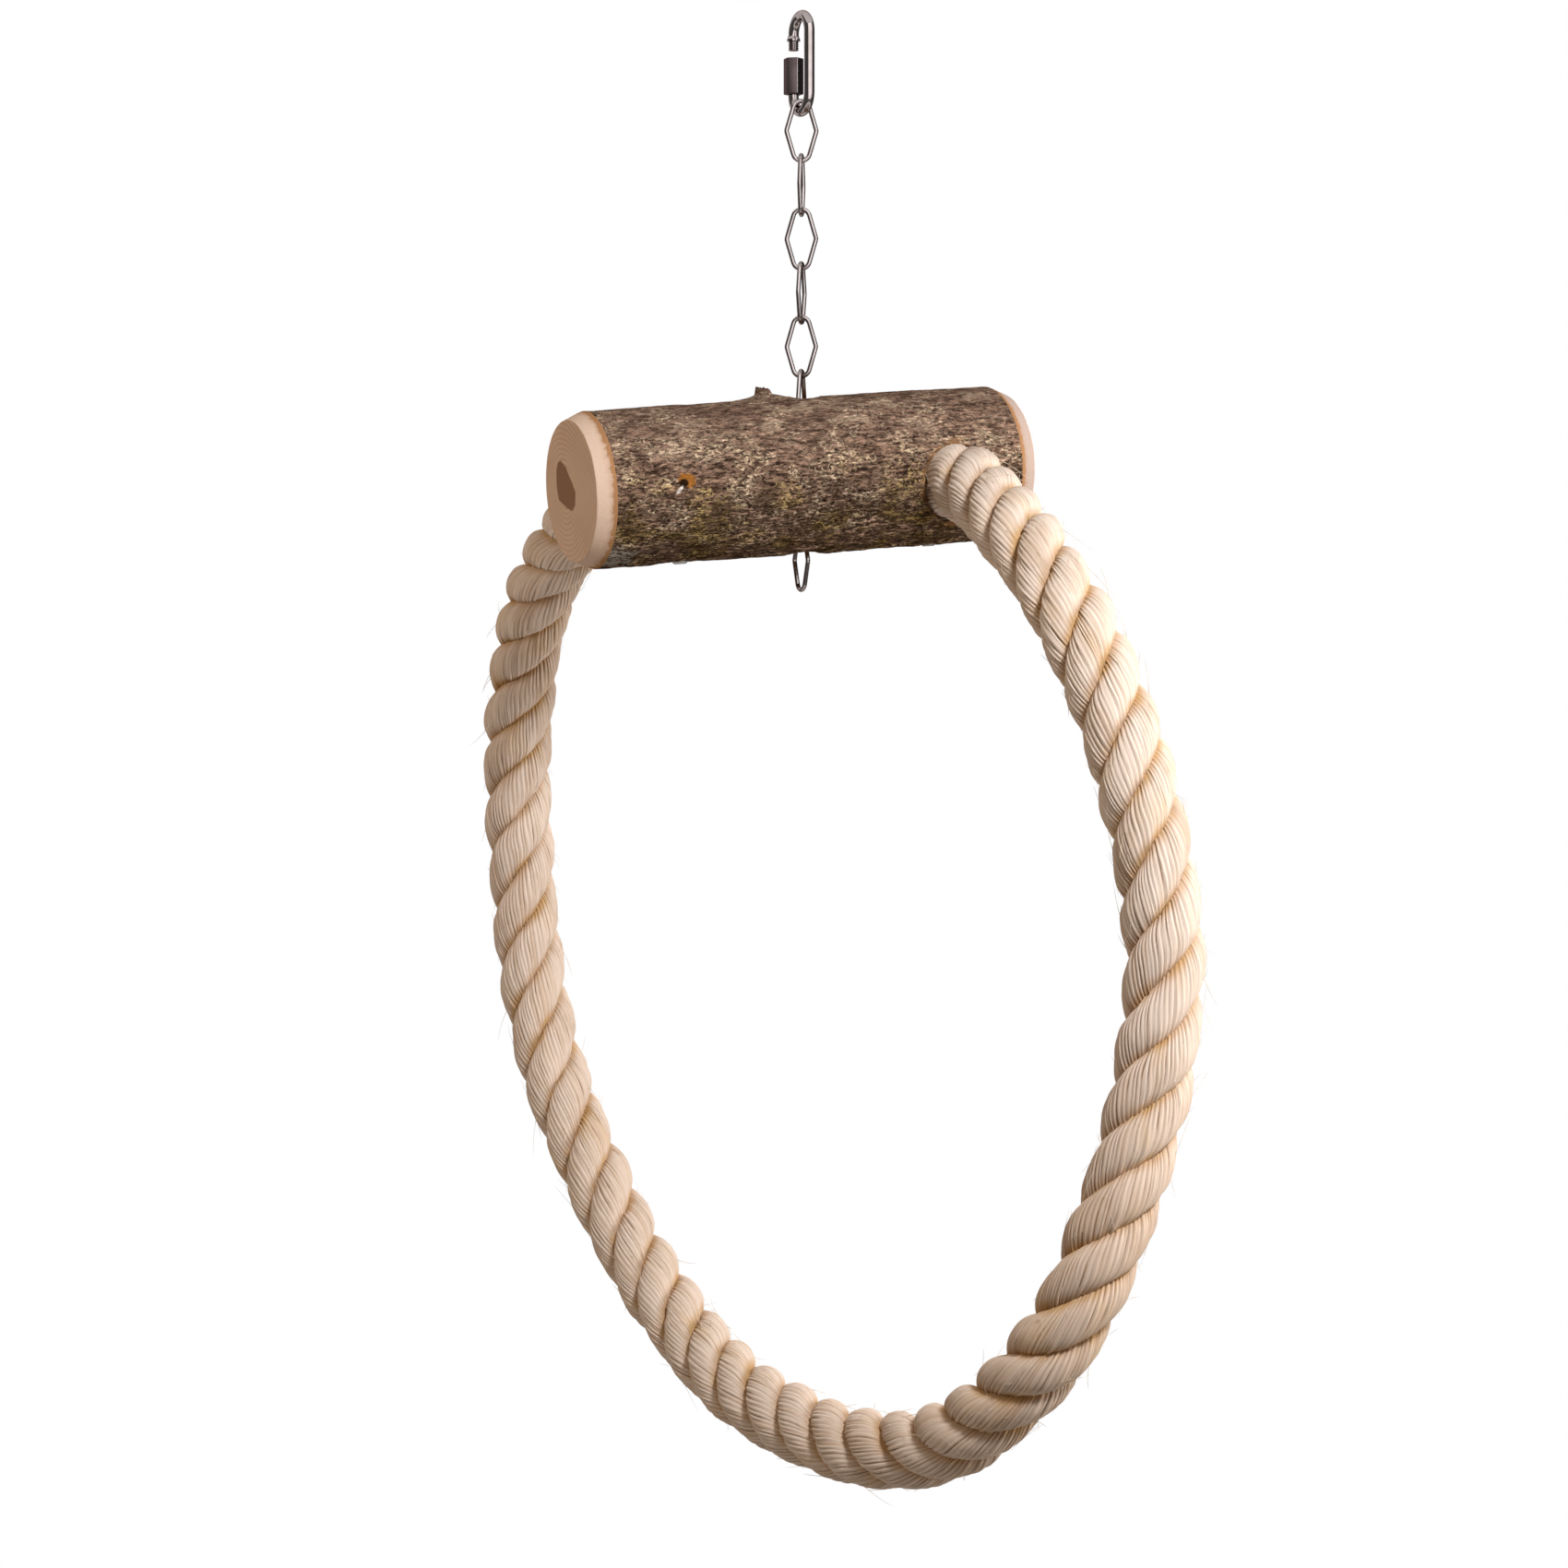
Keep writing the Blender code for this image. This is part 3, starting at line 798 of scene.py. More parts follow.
def place_on(
    piece: bpy.types.Object, body: str, material: bpy.types.Material, node: Optional[str] = None
) -> None:
    """Dress a piece and let it ride on a body.

    Args:
        piece: the object.
        body: the CAD body.
        material: its finish, where it has none yet.
        node: the CAD node that it stands for.
    """
    if len(piece.data.materials) == 0:
        piece.data.materials.append(material)
    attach(piece, body)
    if node is not None:
        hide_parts(node)
    LOGGER.info("%s on %s, %d faces", piece.name, body, len(piece.data.polygons))


def running(steps: np.ndarray) -> np.ndarray:
    """Sums of all steps so far, from 0."""
    return np.concatenate([[0.0], np.cumsum(steps)])


def lengths_along(points: np.ndarray) -> np.ndarray:
    """Length along a line of points, at each of them."""
    return running(np.linalg.norm(np.diff(points, axis=0), axis=1))


@dataclass(frozen=True)
class RopeCourse:
    """The rope's centre line: points, length and turns so far, and directions along and across it."""

    line: np.ndarray
    along: np.ndarray
    turns: np.ndarray
    tangents: np.ndarray
    normals: np.ndarray
    binormals: np.ndarray


@dataclass
class SisalRope:
    """Three laid strands of sisal on the CAD's route, with loose hairs."""

    MAP = "yarn_map"
    DEPTH = "crest"
    SLIT = "slit"

    diameter: float = 0.036
    lays: Tuple[float, ...] = (
        0.102, 0.083, 0.073, 0.087, 0.083, 0.078, 0.086, 0.088, 0.092, 0.093, 0.087, 0.093, 0.098
    )
    strands: int = 3
    strand_offset: float = 0.0085
    strand_radius: float = 0.0095
    strand_width: float = 1.20
    squeezed_width: float = 1.42
    squeezed_end: float = 0.076
    squeeze_fade: float = 0.024
    phase: float = math.radians(-44.0)
    yarns: int = 32
    points_per_yarn: int = 4
    yarn_back: float = 1.72
    yarn_widths: Tuple[float, float] = (0.6, 1.4)
    lifts: Tuple[Tuple[float, float], ...] = ((0.11, 0.00018), (0.047, 0.00015), (0.019, 0.00008))
    sways: Tuple[Tuple[float, float], ...] = ((0.160, 0.4), (0.083, 0.4), (0.041, 0.4))
    slit_depth: float = 0.0012
    groove_reach: float = 0.0115
    crest_reach: float = 0.0182
    ring_step: float = 0.0020
    span_steps: int = 40
    sunk_past_axis: float = 0.020
    straight_before_mouth: float = 0.008
    straight_to_mouth: float = 0.040
    exit_reach: float = 0.008
    hairs: int = 1500
    hairs_from: float = 0.058
    hair_steps: int = 5
    hair_sunk: float = 0.0012
    hair_radii: Tuple[float, float] = (0.00010, 0.00018)
    short_share: float = 0.85
    short_hair: Tuple[float, float] = (0.003, 0.009)
    long_hair: Tuple[float, float] = (0.010, 0.022)
    flat_share: float = 0.75
    flat_rise: Tuple[float, float] = (0.05, 0.30)
    steep_rise: Tuple[float, float] = (0.3, 0.8)
    hair_swerve: float = 0.9
    tuft: int = 70
    tuft_rings: int = 6
    tuft_thickness: float = 1.6
    seed: int = 7

    def route(self) -> List[Place]:
        """The CAD's route.

        Returns:
            Points in the log's own frame.
        """
        free = [
            (0.0615, -0.063, -0.014), (0.0534, -0.1115, -0.0324), (0.052, -0.155, -0.064),
            (0.057, -0.183, -0.110), (0.062, -0.198, -0.163), (0.063, -0.204, -0.217),
            (0.053, -0.204, -0.272), (0.034, -0.202, -0.323), (0.013, -0.191, -0.372),
            (-0.005, -0.159, -0.413), (-0.019, -0.115, -0.442), (-0.033, -0.063, -0.453),
            (-0.043, -0.009, -0.452), (-0.050, 0.045, -0.444), (-0.054, 0.096, -0.426),
            (-0.060, 0.142, -0.396), (-0.066, 0.179, -0.356), (-0.072, 0.208, -0.311),
            (-0.075, 0.224, -0.258), (-0.076, 0.226, -0.204), (-0.078, 0.217, -0.150),
            (-0.0785, 0.196, -0.099), (-0.079, 0.1625, -0.0565), (-0.077, 0.116, -0.025),
            (-0.071, 0.0675, -0.010),
        ]
        return self._end(1.0) + free + self._end(-1.0)[::-1]

    def _end(self, side: float) -> List[Place]:
        """Points of a straight end, outwards from its hole, which is on the right for side 1."""
        reaches = (self.sunk_past_axis, -self.straight_before_mouth, -self.straight_to_mouth)
        return [(side * ROPE_HOLE_OFFSET, side * reach, -ROPE_HOLE_DROP) for reach in reaches]

    def _centre_line(self) -> np.ndarray:
        """Smooth the route.

        Returns:
            Evenly spaced points in the world.
        """
        spots = np.array([LOG_FRAME @ Vector(spot) for spot in self.route()])
        spots = np.vstack([2 * spots[0] - spots[1], spots, 2 * spots[-1] - spots[-2]])
        share = np.linspace(0.0, 1.0, self.span_steps, endpoint=False)[:, None]
        spans = []
        for before, start, end, after in zip(spots, spots[1:], spots[2:], spots[3:]):
            bend = 2 * before - 5 * start + 4 * end - after
            twist = 3 * start - before - 3 * end + after
            spans.append(start + ((end - before) * share + bend * share**2 + twist * share**3) / 2)
        fine = np.vstack(spans + [spots[-2:-1]])
        lengths = lengths_along(fine)
        even = np.linspace(0.0, lengths[-1], int(lengths[-1] / self.ring_step) + 1)
        return np.column_stack([np.interp(even, lengths, fine[:, axis]) for axis in range(3)])

    def _course(self) -> RopeCourse:
        """Follow the centre line, with the directions across it carried on without twist.

        Returns:
            The rope's course.
        """
        line = self._centre_line()
        along = lengths_along(line)
        rates = 1.0 / np.interp(along, np.linspace(0.0, along[-1], len(self.lays)), self.lays)
        turns = running((rates[1:] + rates[:-1]) / 2 * np.diff(along))
        tangents = np.gradient(line, axis=0)
        tangents /= np.linalg.norm(tangents, axis=1)[:, None]
        normals = np.zeros_like(line)
        carried = np.array([0.0, 0.0, 1.0])
        for index, tangent in enumerate(tangents):
            carried = carried - tangent * carried.dot(tangent)
            carried = carried / np.linalg.norm(carried)
            normals[index] = carried
        return RopeCourse(line, along, turns, tangents, normals, np.cross(tangents, normals))

    def _strand(self, number: int, course: RopeCourse) -> bpy.types.Object:
        """One strand, whose mesh runs along its yarns.

        Args:
            number: 0, 1 or 2.
            course: the rope's course.

        Returns:
            The object.
        """
        along = course.along
        rng = np.random.default_rng(self.seed + number)
        share, across = self._yarn_places(rng)
        slit = np.repeat(self._slits(rng, along), self.points_per_yarn, axis=1)
        slit = slit * (np.abs(across) ** 2.5)[None, :]
        lift = np.repeat(self._waves(rng, along, self.lifts, (0.8, 1.25)), self.points_per_yarn, axis=1)
        bulge = 0.0003 * np.sin(2 * math.pi * along / 0.067 + number)
        bulge += 0.0002 * np.sin(along / 0.0049 + 2 * number)
        radius = self.strand_radius + bulge[:, None] + lift - self.slit_depth * slit
        lay_turn = (self.phase + 2 * math.pi * (number / self.strands + course.turns))[:, None]
        outward = np.cos(lay_turn) * course.normals + np.sin(lay_turn) * course.binormals
        sideways = np.cos(lay_turn) * course.binormals - np.sin(lay_turn) * course.normals
        angle = 2 * math.pi * (share[None, :] - self.yarn_back * course.turns[:, None])
        width = self.strand_width + (self.squeezed_width - self.strand_width) * self._squeeze(along)
        outs = self.strand_offset + radius * np.cos(angle)
        sides = radius * width[:, None] * np.sin(angle)
        points = course.line[:, None] + outs[..., None] * outward[:, None]
        points = points + sides[..., None] * sideways[:, None]
        above = np.hypot(outs, sides) - self.groove_reach
        depth = np.clip(above / (self.crest_reach - self.groove_reach), 0.0, 1.0)
        return self._tube(f"sisal_strand_{number + 1}", points, {self.DEPTH: depth, self.SLIT: slit}, along)

    def _yarn_places(self, rng: np.random.Generator) -> Tuple[np.ndarray, np.ndarray]:
        """Where the points of each yarn lie round a strand, as yarns of unlike widths.

        Args:
            rng: seeded source of numbers.

        Returns:
            Shares of a turn, and places across a yarn from -1 at its edge.
        """
        widths = rng.uniform(*self.yarn_widths, self.yarns)
        edges = running(widths) / widths.sum()
        within = np.arange(self.points_per_yarn) / self.points_per_yarn
        share = edges[:-1, None] + within[None, :] * np.diff(edges)[:, None]
        return share.reshape(-1), np.tile(within * 2.0 - 1.0, self.yarns)

    def _waves(
        self,
        rng: np.random.Generator,
        along: np.ndarray,
        waves: Tuple[Tuple[float, float], ...],
        stretches: Tuple[float, float],
    ) -> np.ndarray:
        """Slow waves along each yarn, so that no two yarns are alike.

        Args:
            rng: seeded source of numbers.
            along: length along the rope at each ring.
            waves: length and height of each wave.
            stretches: shortest and longest of a yarn's own waves, as shares.

        Returns:
            Sums of the waves, for each ring and yarn.
        """
        total = np.zeros((len(along), self.yarns))
        for length, height in waves:
            start = rng.uniform(0.0, 2 * math.pi, self.yarns)
            stretch = rng.uniform(*stretches, self.yarns)
            total += height * np.sin(2 * math.pi * along[:, None] / (length * stretch) + start)
        return total

    def _slits(self, rng: np.random.Generator, along: np.ndarray) -> np.ndarray:
        """How far each yarn stands apart from the one before it, which opens and closes along the rope.

        Args:
            rng: seeded source of numbers.
            along: length along the rope at each ring.

        Returns:
            Shares of the deepest slit, for each ring and yarn.
        """
        sway = self._waves(rng, along, self.sways, (0.7, 1.4))
        closed = rng.uniform(0.42, 0.70, self.yarns)
        return np.clip(closed + 0.18 * sway + 0.5 * np.clip(sway - 0.5, 0.0, None), 0.1, 1.0)

    def _squeeze(self, along: np.ndarray) -> np.ndarray:
        """How far the strands are pressed together by the holes in the log.

        Args:
            along: length along the rope.

        Returns:
            1 inside the log, down to 0 a little way outside.
        """
        from_end = np.minimum(along, along[-1] - along)
        share = np.clip((self.squeezed_end - from_end) / self.squeeze_fade, 0.0, 1.0)
        return share * share * (3.0 - 2.0 * share)

    def _tube(
        self, name: str, points: np.ndarray, shares: Dict[str, np.ndarray], along: np.ndarray
    ) -> bpy.types.Object:
        """A closed tube from rings of points, with its map and attributes.

        Args:
            name: its name.
            points: rings by columns by 3.
            shares: an attribute's value at each point, by its name.
            along: length along the rope at each ring.

        Returns:
            The object.
        """
        rings, columns = points.shape[:2]
        ring = np.arange(rings - 1)[:, None] * columns
        column = np.arange(columns)[None, :]
        after = (column + 1) % columns
        corners = (ring + column, ring + after, ring + columns + after, ring + columns + column)
        faces = np.stack(corners, axis=-1).reshape(-1, 4).tolist()
        faces.append(list(range(columns))[::-1])
        faces.append(list(range((rings - 1) * columns, rings * columns)))
        piece = Workbench.from_points(name, points.reshape(-1, 3).tolist(), faces)
        for attribute, values in shares.items():
            layer = piece.data.attributes.new(attribute, "FLOAT", "POINT")
            layer.data.foreach_set("value", values.reshape(-1).astype(np.float32))
        across = np.stack([column, column + 1, column + 1, column], axis=-1) / columns
        lengthways = np.stack([along[:-1], along[:-1], along[1:], along[1:]], axis=-1)[:, None, :]
        flat = np.stack(np.broadcast_arrays(across, lengthways), axis=-1).reshape(-1, 2)
        caps = np.zeros((2 * columns, 2))
        uv = piece.data.uv_layers.new(name=self.MAP)
        uv.data.foreach_set("uv", np.vstack([flat, caps]).astype(np.float32).reshape(-1))
        return piece

    def _loose_hairs(self, course: RopeCourse) -> bpy.types.Object:
        """Single hairs that stand off the strands, with a tuft at the right hole.

        Args:
            course: the rope's course.

        Returns:
            One object with all of them.
        """
        rng = random.Random(self.seed)
        points: List[Vector] = []
        faces: List[List[int]] = []
        first = int(self.hairs_from / self.ring_step)
        for number in range(self.hairs):
            in_tuft = number < self.tuft
            last = first + self.tuft_rings if in_tuft else len(course.line) - first
            path = self._hair_path(rng, course, rng.randrange(first, last))
            thickness = self.tuft_thickness if in_tuft else 1.0
            self._hair(path, thickness * rng.uniform(*self.hair_radii), points, faces)
        return Workbench.from_points("sisal_hairs", points, faces)

    def _hair_path(self, rng: random.Random, course: RopeCourse, index: int) -> List[Vector]:
        """A curved hair on the crest of a strand.

        Args:
            rng: seeded source of numbers.
            course: the rope's course.
            index: ring that the hair grows from.

        Returns:
            Points from root to tip.
        """
        crest = self.phase + 2 * math.pi * (rng.randrange(self.strands) / self.strands + course.turns[index])
        turn = crest + rng.uniform(-0.5, 0.5)
        out = Vector(course.normals[index] * math.cos(turn) + course.binormals[index] * math.sin(turn))
        forward = Vector(course.tangents[index]) * rng.choice((-1.0, 1.0))
        side = out.cross(forward)
        length = rng.uniform(*(self.short_hair if rng.random() < self.short_share else self.long_hair))
        rise = rng.uniform(*(self.flat_rise if rng.random() < self.flat_share else self.steep_rise))
        swerve = rng.uniform(-self.hair_swerve, self.hair_swerve)
        root = Vector(course.line[index]) + out * (self.diameter / 2 - self.hair_sunk)
        path = []
        for step in range(self.hair_steps + 1):
            share = step / self.hair_steps
            lifted = out * (rise * share - 0.35 * rise * share * share)
            path.append(root + (forward * share + lifted + side * swerve * share * share) * length)
        return path

    @staticmethod
    def _hair(path: List[Vector], radius: float, points: List[Vector], faces: List[List[int]]) -> None:
        """Add one three-sided hair that ends in a point.

        Args:
            path: its points from root to tip.
            radius: its radius at the root.
            points: list that it adds to.
            faces: list that it adds to.
        """
        start = len(points)
        heading = (path[-1] - path[0]).normalized()
        across = heading.orthogonal().normalized()
        other = heading.cross(across)
        rings = len(path) - 1
        for step, spot in enumerate(path[:-1]):
            size = radius * (1.0 - 0.6 * step / rings)
            for corner in range(3):
                turn = 2 * math.pi * corner / 3
                points.append(spot + (across * math.cos(turn) + other * math.sin(turn)) * size)
        points.append(path[-1])
        faces.append([start + 2, start + 1, start])
        tip = start + 3 * rings
        for low in range(start, tip, 3):
            for corner in range(3):
                after = (corner + 1) % 3
                above = [tip] if low + 3 == tip else [low + 3 + after, low + 3 + corner]
                faces.append([low + corner, low + after] + above)

    def build(self) -> None:
        course = self._course()
        line = course.line
        sisal = SisalFinish(self.yarns).make()
        strands = [self._strand(number, course) for number in range(self.strands)]
        for strand in strands:
            place_on(strand, LOG_BODY, sisal, "rope_ring")
        hairs = self._loose_hairs(course)
        place_on(hairs, LOG_BODY, FibreFinish().make())
        [tuple(spot) for spot in line[:: max(1, len(line) // 120)]] + [tuple(line[-1])]


@dataclass
class BranchLog:
    """The branch with its bark, bevelled sawn ends, twig stub and holes."""

    left_length: float = 0.1173
    right_length: float = 0.1082
    left_radius: float = 0.0365
    right_radius: float = 0.0377
    bevel_length: float = 0.0086
    bevel_depth: float = 0.0038
    face_steps: int = 12
    bevel_steps: int = 6
    bark_steps: int = 190
    sides: int = 230
    sharp_angle: float = 40.0
    relief_middle: float = 0.75
    relief_swing: float = 0.25
    relief_height: float = 0.025
    relief_edge: float = 0.35
    relief_fade: float = 0.006
    hole_radius: float = 0.0183
    hole_past_axis: float = 0.0203
    bore_radius: float = 0.009
    twig_offset: float = 0.017
    twig_radius: float = 0.0040
    twig_height: float = 0.0050
    twig_sunk: float = 0.004
    twig_top: float = 0.70
    twig_flare: float = 1.6
    twig_oval: float = 1.15
    twig_wobble: float = 0.08
    twig_ragged: float = 0.0008
    twig_slant: float = 0.25
    twig_seed: int = 3
    mound_height: float = 0.0042
    mound_spread: float = 0.0070
    knot: Place = (-0.0746, -0.037, 0.0009)
    knot_depth: float = 0.0016
    knot_width: float = 0.0018
    knot_lip: float = 0.0006
    knot_lip_radius: float = 0.0036
    knot_lip_width: float = 0.0012
    heart: Tuple[Tuple[float, float], ...] = (
        (0.0109, 0.0146), (0.0048, 0.0113), (-0.0050, -0.0008), (-0.0035, -0.0063), (0.0003, -0.0088),
        (0.0078, -0.0071), (0.0169, -0.0036), (0.0184, 0.0025), (0.0169, 0.0102), (0.0146, 0.0135),
    )
    screw_sink_radius: float = 0.0048
    screw_sink: float = 0.0028
    pin_sink_radius: float = 0.0043
    pin_below_axis: float = 0.0229
    pin_sink: float = 0.0028
    overrun: float = 0.012

    @property
    def left_edge(self) -> float:
        """Where the bark ends on the left."""
        return self.bevel_length - self.left_length

    @property
    def right_edge(self) -> float:
        """Where the bark ends on the right."""
        return self.right_length - self.bevel_length

    def radius_at(self, along: float) -> float:
        """Radius of the bark at a place along the axis."""
        share = (along + self.left_length) / (self.left_length + self.right_length)
        return self.left_radius + (self.right_radius - self.left_radius) * share

    def _profile(self) -> List[Tuple[float, float]]:
        """Outline of half the log.

        Returns:
            Places along the axis with radii, from the left centre to the right centre.
        """
        left_face = self.left_radius - self.bevel_depth
        right_face = self.right_radius - self.bevel_depth
        face = range(self.face_steps + 1)
        profile = [(-self.left_length, left_face * n / self.face_steps) for n in face]
        bevel = [n / self.bevel_steps for n in range(1, self.bevel_steps)]
        for share in bevel:
            along = -self.left_length + self.bevel_length * share
            profile.append((along, left_face + self.bevel_depth * share))
        for n in range(self.bark_steps + 1):
            along = self.left_edge + (self.right_edge - self.left_edge) * n / self.bark_steps
            profile.append((along, self.radius_at(along)))
        for share in bevel:
            along = self.right_edge + self.bevel_length * share
            profile.append((along, self.right_radius - self.bevel_depth * share))
        return profile + [(self.right_length, right_face * n / self.face_steps) for n in reversed(face)]

    def _turned(self) -> bpy.types.Object:
        """Spin the profile about the log's own axis.

        Returns:
            The log, in its own frame.
        """
        mesh = bpy.data.meshes.new("branch_log")
        spots = [(along, 0.0, radius) for along, radius in self._profile()]
        mesh.from_pydata(spots, [(n, n + 1) for n in range(len(spots) - 1)], [])
        log = Workbench.link(mesh)
        Workbench.pick(log)
        Workbench.edit()
        bpy.ops.mesh.spin(steps=self.sides, angle=2 * math.pi, center=(0, 0, 0), axis=(1, 0, 0))
        Workbench.clean(log, self.sharp_angle)
        return log

    def _relief(self, log: bpy.types.Object) -> None:
        """Lumps, plates and fissures of the bark, weaker at its ends and on top.

        Args:
            log: the turned log, in its own frame.
        """
        group_name = "bark"
        group = log.vertex_groups.new(name=group_name)
        for vertex in log.data.vertices:
            inside = min(vertex.co.x - self.left_edge, self.right_edge - vertex.co.x)
            if inside > -0.0002:
                height = max(-1.0, min(1.0, vertex.co.z / self.relief_height))
                rough = self.relief_middle - self.relief_swing * height
                weight = min(1.0, self.relief_edge + inside / self.relief_fade) * rough
                group.add([vertex.index], weight, "REPLACE")
        grain = bpy.data.objects.new("grain", None)
        bpy.context.scene.collection.objects.link(grain)
        for name, size, stretch, height in (
            ("lumps", 0.040, 2.0, 0.0016),
            ("plates", 0.0052, 3.0, 0.0018),
            ("fissures", 0.0024, 4.0, 0.0013),
        ):
            grain.scale = (stretch, 1.0, 1.0)
            bpy.context.view_layer.update()
            texture = bpy.data.textures.new(name, "CLOUDS")
            texture.noise_scale = size
            texture.noise_depth = 2
            displace = log.modifiers.new(name, "DISPLACE")
            displace.texture = texture
            displace.texture_coords = "OBJECT"
            displace.texture_coords_object = grain
            displace.strength = height
            displace.mid_level = 0.55
            displace.vertex_group = group_name
            Workbench.apply(log, displace)
        bpy.data.objects.remove(grain, do_unlink=True)

    def _swellings(self, log: bpy.types.Object) -> None:
        """The mound round the twig stub and the dent of the small wound.

        Args:
            log: the log, in its own frame.
        """
        for vertex in log.data.vertices:
            spot = vertex.co
            away = Vector((0.0, spot.y, spot.z)).normalized()
            if spot.z > 0.02:
                near = math.hypot((spot.x + self.twig_offset) / 1.2, spot.y)
                vertex.co += away * self.mound_height * math.exp(-near / self.mound_spread)
            if spot.y < -0.03:
                near = math.hypot((spot.x - self.knot[0]) * 0.7, spot.z - self.knot[2])
                dent = self.knot_depth * math.exp(-((near / self.knot_width) ** 2))
                from_lip = (near - self.knot_lip_radius) / self.knot_lip_width
                vertex.co += away * (self.knot_lip * math.exp(-(from_lip**2)) - dent)

    def _dress(self, log: bpy.types.Object, bark: bpy.types.Material, wood: bpy.types.Material) -> None:
        """Bark on the round side and sawn wood on the ends.

        Args:
            log: the log, in its own frame.
            bark: the bark's finish.
            wood: the sawn wood's finish.
        """
        log.data.materials.append(bark)
        log.data.materials.append(wood)
        for face in log.data.polygons:
            if not self.left_edge < face.center.x < self.right_edge:
                face.material_index = 1

    def _holes(self, log: bpy.types.Object, wood: bpy.types.Material) -> None:
        """Rope holes, chain bore, and the sinks of the screws and the pin.

        Args:
            log: the log, in the world.
            wood: finish of the cut walls.
        """
        holes = []
        reach = self.right_radius + self.overrun
        for side in (1.0, -1.0):
            along = side * ROPE_HOLE_OFFSET
            deep = LOG_FRAME @ Vector((along, side * self.hole_past_axis, -ROPE_HOLE_DROP))
            mouth = LOG_FRAME @ Vector((along, -side * reach, -ROPE_HOLE_DROP))
            holes.append(("rope_hole", self.hole_radius, deep, mouth, 96))
            seat = self.screw_sink - self.radius_at(along)
            sink_top = LOG_FRAME @ Vector((along, 0.0, seat))
            sink_foot = LOG_FRAME @ Vector((along, 0.0, seat - self.overrun))
            holes.append(("screw_sink", self.screw_sink_radius, sink_top, sink_foot, 32))
        middle = Vector((0.0, 0.0, LOG_AXIS_HEIGHT))
        up = Vector((0.0, 0.0, reach))
        holes.append(("chain_bore", self.bore_radius, middle - up, middle + up, 48))
        back = math.sqrt(self.radius_at(0.0) ** 2 - self.pin_below_axis**2) - self.pin_sink
        pin = Vector((0.0, back, LOG_AXIS_HEIGHT - self.pin_below_axis))
        out = pin + Vector((0.0, self.overrun, 0.0))
        holes.append(("pin_sink", self.pin_sink_radius, pin, out, 32))
        for hole in holes:
            cutter = Workbench.rod(*hole)
            cutter.data.materials.append(wood)
            Workbench.cut(log, cutter)

    def _twig(self) -> bpy.types.Object:
        """The broken twig stub, wider at its foot and ragged at its top.

        Returns:
            The object, in the world.
        """
        depth = self.twig_height + self.twig_sunk
        twig = Workbench.add(
            "twig_stub",
            bpy.ops.mesh.primitive_cylinder_add,
            vertices=20,
            radius=self.twig_radius,
            depth=depth,
        )
        Workbench.edit()
        bpy.ops.mesh.subdivide(number_cuts=3)
        Workbench.clear()
        rng = random.Random(self.twig_seed)
        for vertex in twig.data.vertices:
            height = (vertex.co.z + depth / 2) / depth
            wobble = rng.uniform(-self.twig_wobble, self.twig_wobble)
            flare = self.twig_top + self.twig_flare * (1.0 - height) ** 1.5 + wobble
            vertex.co.x *= flare * self.twig_oval
            vertex.co.y *= flare
            if height > 0.9:
                ragged = rng.uniform(-self.twig_ragged, self.twig_ragged)
                vertex.co.z += ragged - self.twig_slant * vertex.co.x
        middle = self.radius_at(-self.twig_offset) + self.twig_height - depth / 2
        twig.data.transform(LOG_FRAME @ Matrix.Translation((-self.twig_offset, 0.0, middle)))
        Workbench.clean(twig, 50.0)
        return twig

    def build(self) -> None:
        """Make the log and its twig stub."""
        bark = BarkFinish(self.hole_radius, self.knot).make()
        wood = SawnWoodFinish(self.left_length, self.right_length, self.bevel_length, self.heart).make()
        log = self._turned()
        self._relief(log)
        self._swellings(log)
        self._dress(log, bark, wood)
        log.data.transform(LOG_FRAME)
        self._holes(log, wood)
        Workbench.smooth(log, self.sharp_angle)
        place_on(log, LOG_BODY, bark, "log")
        place_on(self._twig(), LOG_BODY, bark)


class BentBar:
    """A round bar that is bent step by step from a starting ring, in the XZ plane."""

    def __init__(self, name: str, radius: float, sides: int, start: Vector, heading: Vector) -> None:
        """Add the first ring.

        Args:
            name: the piece's name.
            radius: the bar's radius.
            sides: points round the bar.
            start: centre of the ring.
            heading: direction that the bar leaves in.
        """
        self.piece = Workbench.add(
            name,
            bpy.ops.mesh.primitive_circle_add,
            vertices=sides,
            radius=radius,
            fill_type="NOTHING",
            location=start,
            rotation=heading.to_track_quat("Z", "Y").to_euler(),
        )
        self.spot = start.copy()
        Workbench.edit()

    def run(self, end: Vector) -> None:
        """Go straight on to a point."""
        bpy.ops.mesh.extrude_region_move(TRANSFORM_OT_translate={"value": end - self.spot})
        self.spot = end.copy()

    def climb(self, height: float) -> None:
        """Go straight up or down to a height."""
        self.run(Vector((self.spot.x, self.spot.y, height)))

    def bend(self, centre: Vector, turn: float, steps: int) -> None:
        """Bend round a centre by an angle from +X towards +Z, in so many steps."""
        bpy.ops.mesh.spin(steps=steps, angle=turn, center=centre, axis=(0.0, 1.0, 0.0))
        self.spot = centre + Matrix.Rotation(-turn, 3, "Y") @ (self.spot - centre)

    def swell(self, scale: float) -> None:
        """Make the last ring wider or narrower by a share."""
        bpy.ops.transform.resize(value=(scale, scale, scale), center_override=self.spot)

    def cap(self) -> None:
        """Close the last ring with a face."""
        bpy.ops.mesh.edge_face_add()

    def done(self) -> bpy.types.Object:
        """The bar, with its doubles merged."""
        Workbench.clean(self.piece, 38.0)
        return self.piece


